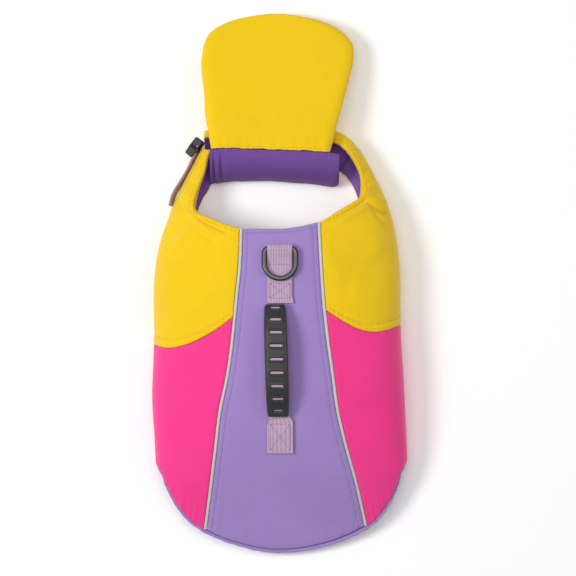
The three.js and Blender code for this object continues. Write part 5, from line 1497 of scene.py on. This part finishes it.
ahead = unit(np.roll(centre, -1, axis=0) - np.roll(centre, 1, axis=0))
lift = unit(np.array([0, slope, 1.0]))
outward = unit(np.cross(ahead, lift))
section = softSection(28, 3.4)
rings = (centre[:, None] + outward[:, None] * section[None, :, :1] * ringForm["wire"] / 2
         + lift * section[None, :, 1:] * ringForm["wire"] / 2)
verts, quads, cloth = skinOf(rings, ring=True)
putMesh("leashRing", verts, quads, "ringMetal", "ring_metal", cloth, body="ring", stands=["d_ring"])

# The strap's middle line: forward on the back, round the bar, and back on top of itself
turn = np.radians(np.linspace(-90, 128, 26))
reach = ringForm["bore"] + strap["thick"] / 2
lowY = np.linspace(ringForm["strapEndY"], barY - 2, 60)
topY = np.linspace(barY + reach * np.cos(turn[-1]), ringForm["strapEndY"], 70)
settle = smoothStep(topY, 14, 30)
topEnd = barZ + reach * np.sin(turn[-1])
topZ = ((backHeight(ringForm["strapX"], topY) + 0.3 + 1.5 * strap["thick"]) * (1 - settle)
        + settle * (topEnd - 0.25 * (topY[0] - topY)))
lowZ = backHeight(ringForm["strapX"], lowY) + 0.3 + strap["thick"] / 2
line = np.concatenate([np.stack([lowY, lowZ], -1),
                       np.stack([barY + reach * np.cos(turn), barZ + reach * np.sin(turn)], -1),
                       np.stack([topY, topZ], -1)[1:]])
sideways = np.zeros((len(line), 3))
sideways[:, 0] = 1
points = np.concatenate([np.full((len(line), 1), float(ringForm["strapX"])), line], -1)
ahead = unit(np.gradient(points, axis=0))
up = np.cross(ahead, sideways)
section = softSection(40, 9.0)
ravel = smoothStep(-points[:, 1], 11, 19) * (np.arange(len(points)) > 90)  # the cut end spreads and skews
points[:, 0] += 0.6 * ravel
width = strap["width"] * (1 + 0.06 * ravel)
# Round the bar the webbing is drawn thin, with its outer face kept
drawn = smoothStep(points[:, 1], barY - 6, barY)
full = strap["thick"] - 0.1
thick = full * (1 - 0.3 * drawn)
centreLine = points + up * (0.15 * full * drawn)[:, None]
rings = (centreLine[:, None] + sideways[:, None] * (section[None, :, :1] * width[:, None, None] / 2)
         + up[:, None] * section[None, :, 1:] * (thick / 2)[:, None, None])
verts, quads, cloth = skinOf(rings)
piece = putMesh("ringStrap", verts, quads, "webbing", "webbing", cloth, stands=["ring_webbing"])


# The upper layer's face
def strapTop(x, y):
    return backHeight(ringForm["strapX"], y) + 0.3 + 2 * strap["thick"] - 0.05


x, y = np.linspace(-11, 10.6, 40), np.full(40, 18.5)
rows = [stitchRow(np.stack([x, y, strapTop(x, y)], -1), np.tile([0, 0, 1.0], (40, 1)), 2.3, 1.9, 0.6)]
rows += boxCross(-10.4, 10.2, -15, -0.5, strapTop)
putStitches("ringStrapStitches", rows, "webbingThread", "webbing")
print("leash ring is made")


# Handle: webbing sewn down at both ends, with a slotted rubber grip on its arch

handle = {
    "frontY": -22.6,
    "backY": -130.4,
    "frontX": -4.9,
    "backX": -1.8,
    "width": 23,
    "thick": 8.5,
    "lift": 13,
    "patchEndY": -168.6,
    "slots": 9,
    "slotWide": 3.1,
    "slotLong": 14.2,
    "slotShorter": 4,  # at both ends
    "slotMiddleY": -74.9,
    "raised": 1.5,  # webbing above the middle of the grip
    "slotFloor": 2.2,  # just inside the webbing
    "endRound": 2.4,
    "strapFlat": (0.0246, 0.165),
}


# The grip's middle line: an arch that rises with a power of the distance from its middle
def gripMiddle(y):
    centre, halfLong = (handle["frontY"] + handle["backY"]) / 2, (handle["frontY"] - handle["backY"]) / 2
    x = handle["frontX"] + (handle["backX"] - handle["frontX"]) * (handle["frontY"] - y) / (2 * halfLong)
    arch = handle["lift"] * (1 - np.abs((y - centre) / halfLong) ** 2.8)
    return np.stack([x, y, backHeight(x, y) + handle["thick"] / 2 + 0.7 + arch], -1)


middle = gripMiddle(np.linspace(handle["frontY"], handle["backY"], 230))
ahead = unit(np.gradient(middle, axis=0))
sideways = np.tile([1.0, 0, 0], (len(middle), 1))
up = unit(np.cross(sideways, ahead))
up *= np.sign(up[:, 2:3])
reach = reachOf(middle)
share = reach / reach[-1]
topX = np.linspace(0.86, -0.86, 58)
bend = np.linspace(0, np.pi, 14)[1:-1]
side = np.stack([-0.86 - 0.14 * np.sin(bend), 0.9 * np.cos(bend)], -1)
section = np.concatenate([np.stack([topX, 1 - 0.1 * np.abs(topX) ** 3], -1), side,
                          np.stack([-topX[::2], np.full(29, -0.92)], -1),
                          np.stack([-side[:, 0], -side[:, 1]], -1)])
wide = handle["width"] - 2.6 * np.abs(2 * share - 1) ** 4
acrossMm = section[None, :, 0] * wide[:, None] / 2
upMm = np.broadcast_to(section[None, :, 1] * handle["thick"] / 2, acrossMm.shape).copy()
onTop = section[:, 1] > 0.85
inSlot = np.zeros_like(acrossMm)
lip = np.zeros_like(acrossMm)
for k in range(handle["slots"]):
    place = 2 * k / (handle["slots"] - 1) - 1
    at = np.interp(-handle["slotMiddleY"] + 52.9 * place - 3.7 * place ** 3, -middle[:, 1], reach)
    nearEnd = abs(place)
    halfLong, radius = (handle["slotLong"] - handle["slotShorter"] * nearEnd ** 2) / 2, handle["slotWide"] / 2
    past = np.maximum(np.abs(acrossMm) - (halfLong - radius), 0)
    away = np.hypot(past, (reach - at)[:, None]) - radius
    inSlot = np.maximum(inSlot, smoothStep(-away, -0.1, 0.5))
    lip = np.maximum(lip, np.exp(-((away - 0.9) / 0.7) ** 2))
upMm += np.where(onTop, 0.35 * lip - 0.2 * np.exp(-((np.abs(acrossMm) - 9.0) / 0.5) ** 2), 0)
upMm = np.where(onTop, upMm + (handle["slotFloor"] - upMm) * inSlot, upMm)
fromEnd = np.clip(np.minimum(reach, reach[-1] - reach) / handle["endRound"], 0, 1)
endRound = np.sqrt(np.clip(1 - (1 - fromEnd) ** 2, 0.05, 1))[:, None]
rings = (middle[:, None] + sideways[:, None] * (acrossMm * (0.9 + 0.1 * endRound))[..., None]
         + up[:, None] * (upMm * (0.6 + 0.4 * endRound))[..., None])
verts, quads, cloth = skinOf(rings)
putMesh("gripRubber", verts, quads, "rubber", "black_rubber", cloth, stands=["handle_grip"])

inGrip = gripMiddle(np.linspace(handle["frontY"] + 0.5, handle["backY"] - 0.5, 110))
inGrip[:, 2] += handle["raised"]
patchY = np.linspace(-139, handle["patchEndY"], 40)
patchX = 0.2 + 0.1 * smoothStep(-patchY, 139, 152)
patch = np.stack([patchX, patchY, backHeight(patchX, patchY) + 1.9], -1)
start = np.array([[-4.9, -20.9, float(backHeight(-4.9, -20.7)) + 2.6]])
dropY = np.linspace(-132.5, -137.5, 5)
drop = np.stack([np.interp(dropY, [-137.5, -132.5], [0.1, -1.5]), dropY,
                 backHeight(0, dropY) + np.array([3.5, 3.0, 2.6, 2.3, 2.05])], -1)
line = np.concatenate([start, inGrip, drop, patch])
width = np.concatenate([[16], np.full(110, 16.0), np.linspace(19, 25, 5), np.full(40, 26.0)])
thick = np.concatenate([[1.2], np.full(110, 2.2), np.linspace(2.3, 2.7, 5), np.full(40, 2.8)])
putStrap("handleStrap", line, (1, 0, 0), width, thick, ["handle_webbing"])


# The patch's face is level across its width
def patchTop(x, y):
    return backHeight(0.3, y) + 3.25


rows = boxCross(-9.6, 10.2, -165.4, -139.5, patchTop)
putStitches("handleStrapStitches", rows, "webbingThread", "webbing")
print("handle is made")


# Floor

floorSize, floorLevel = 3.0, -0.4 * mm
floorMesh = bpy.data.meshes.new("floor")
corners = [(-1, -1), (1, -1), (1, 1), (-1, 1)]
floorMesh.from_pydata([(x * floorSize, y * floorSize, floorLevel) for x, y in corners], [], [(0, 1, 2, 3)])
board = moulded("pale matt studio board", "#fdfdfd", 0.9, grainMm=2.0, grainDepth=0.0, speck=0.0)
boardShader = next(node for node in board.node_tree.nodes if node.type == "BSDF_PRINCIPLED")
boardShader.inputs["Emission Color"].default_value = (1, 1, 1, 1)
boardShader.inputs["Emission Strength"].default_value = 0.1
floorMesh.materials.append(board)
floor = bpy.data.objects.new("floor", floorMesh)
bpy.context.scene.collection.objects.link(floor)
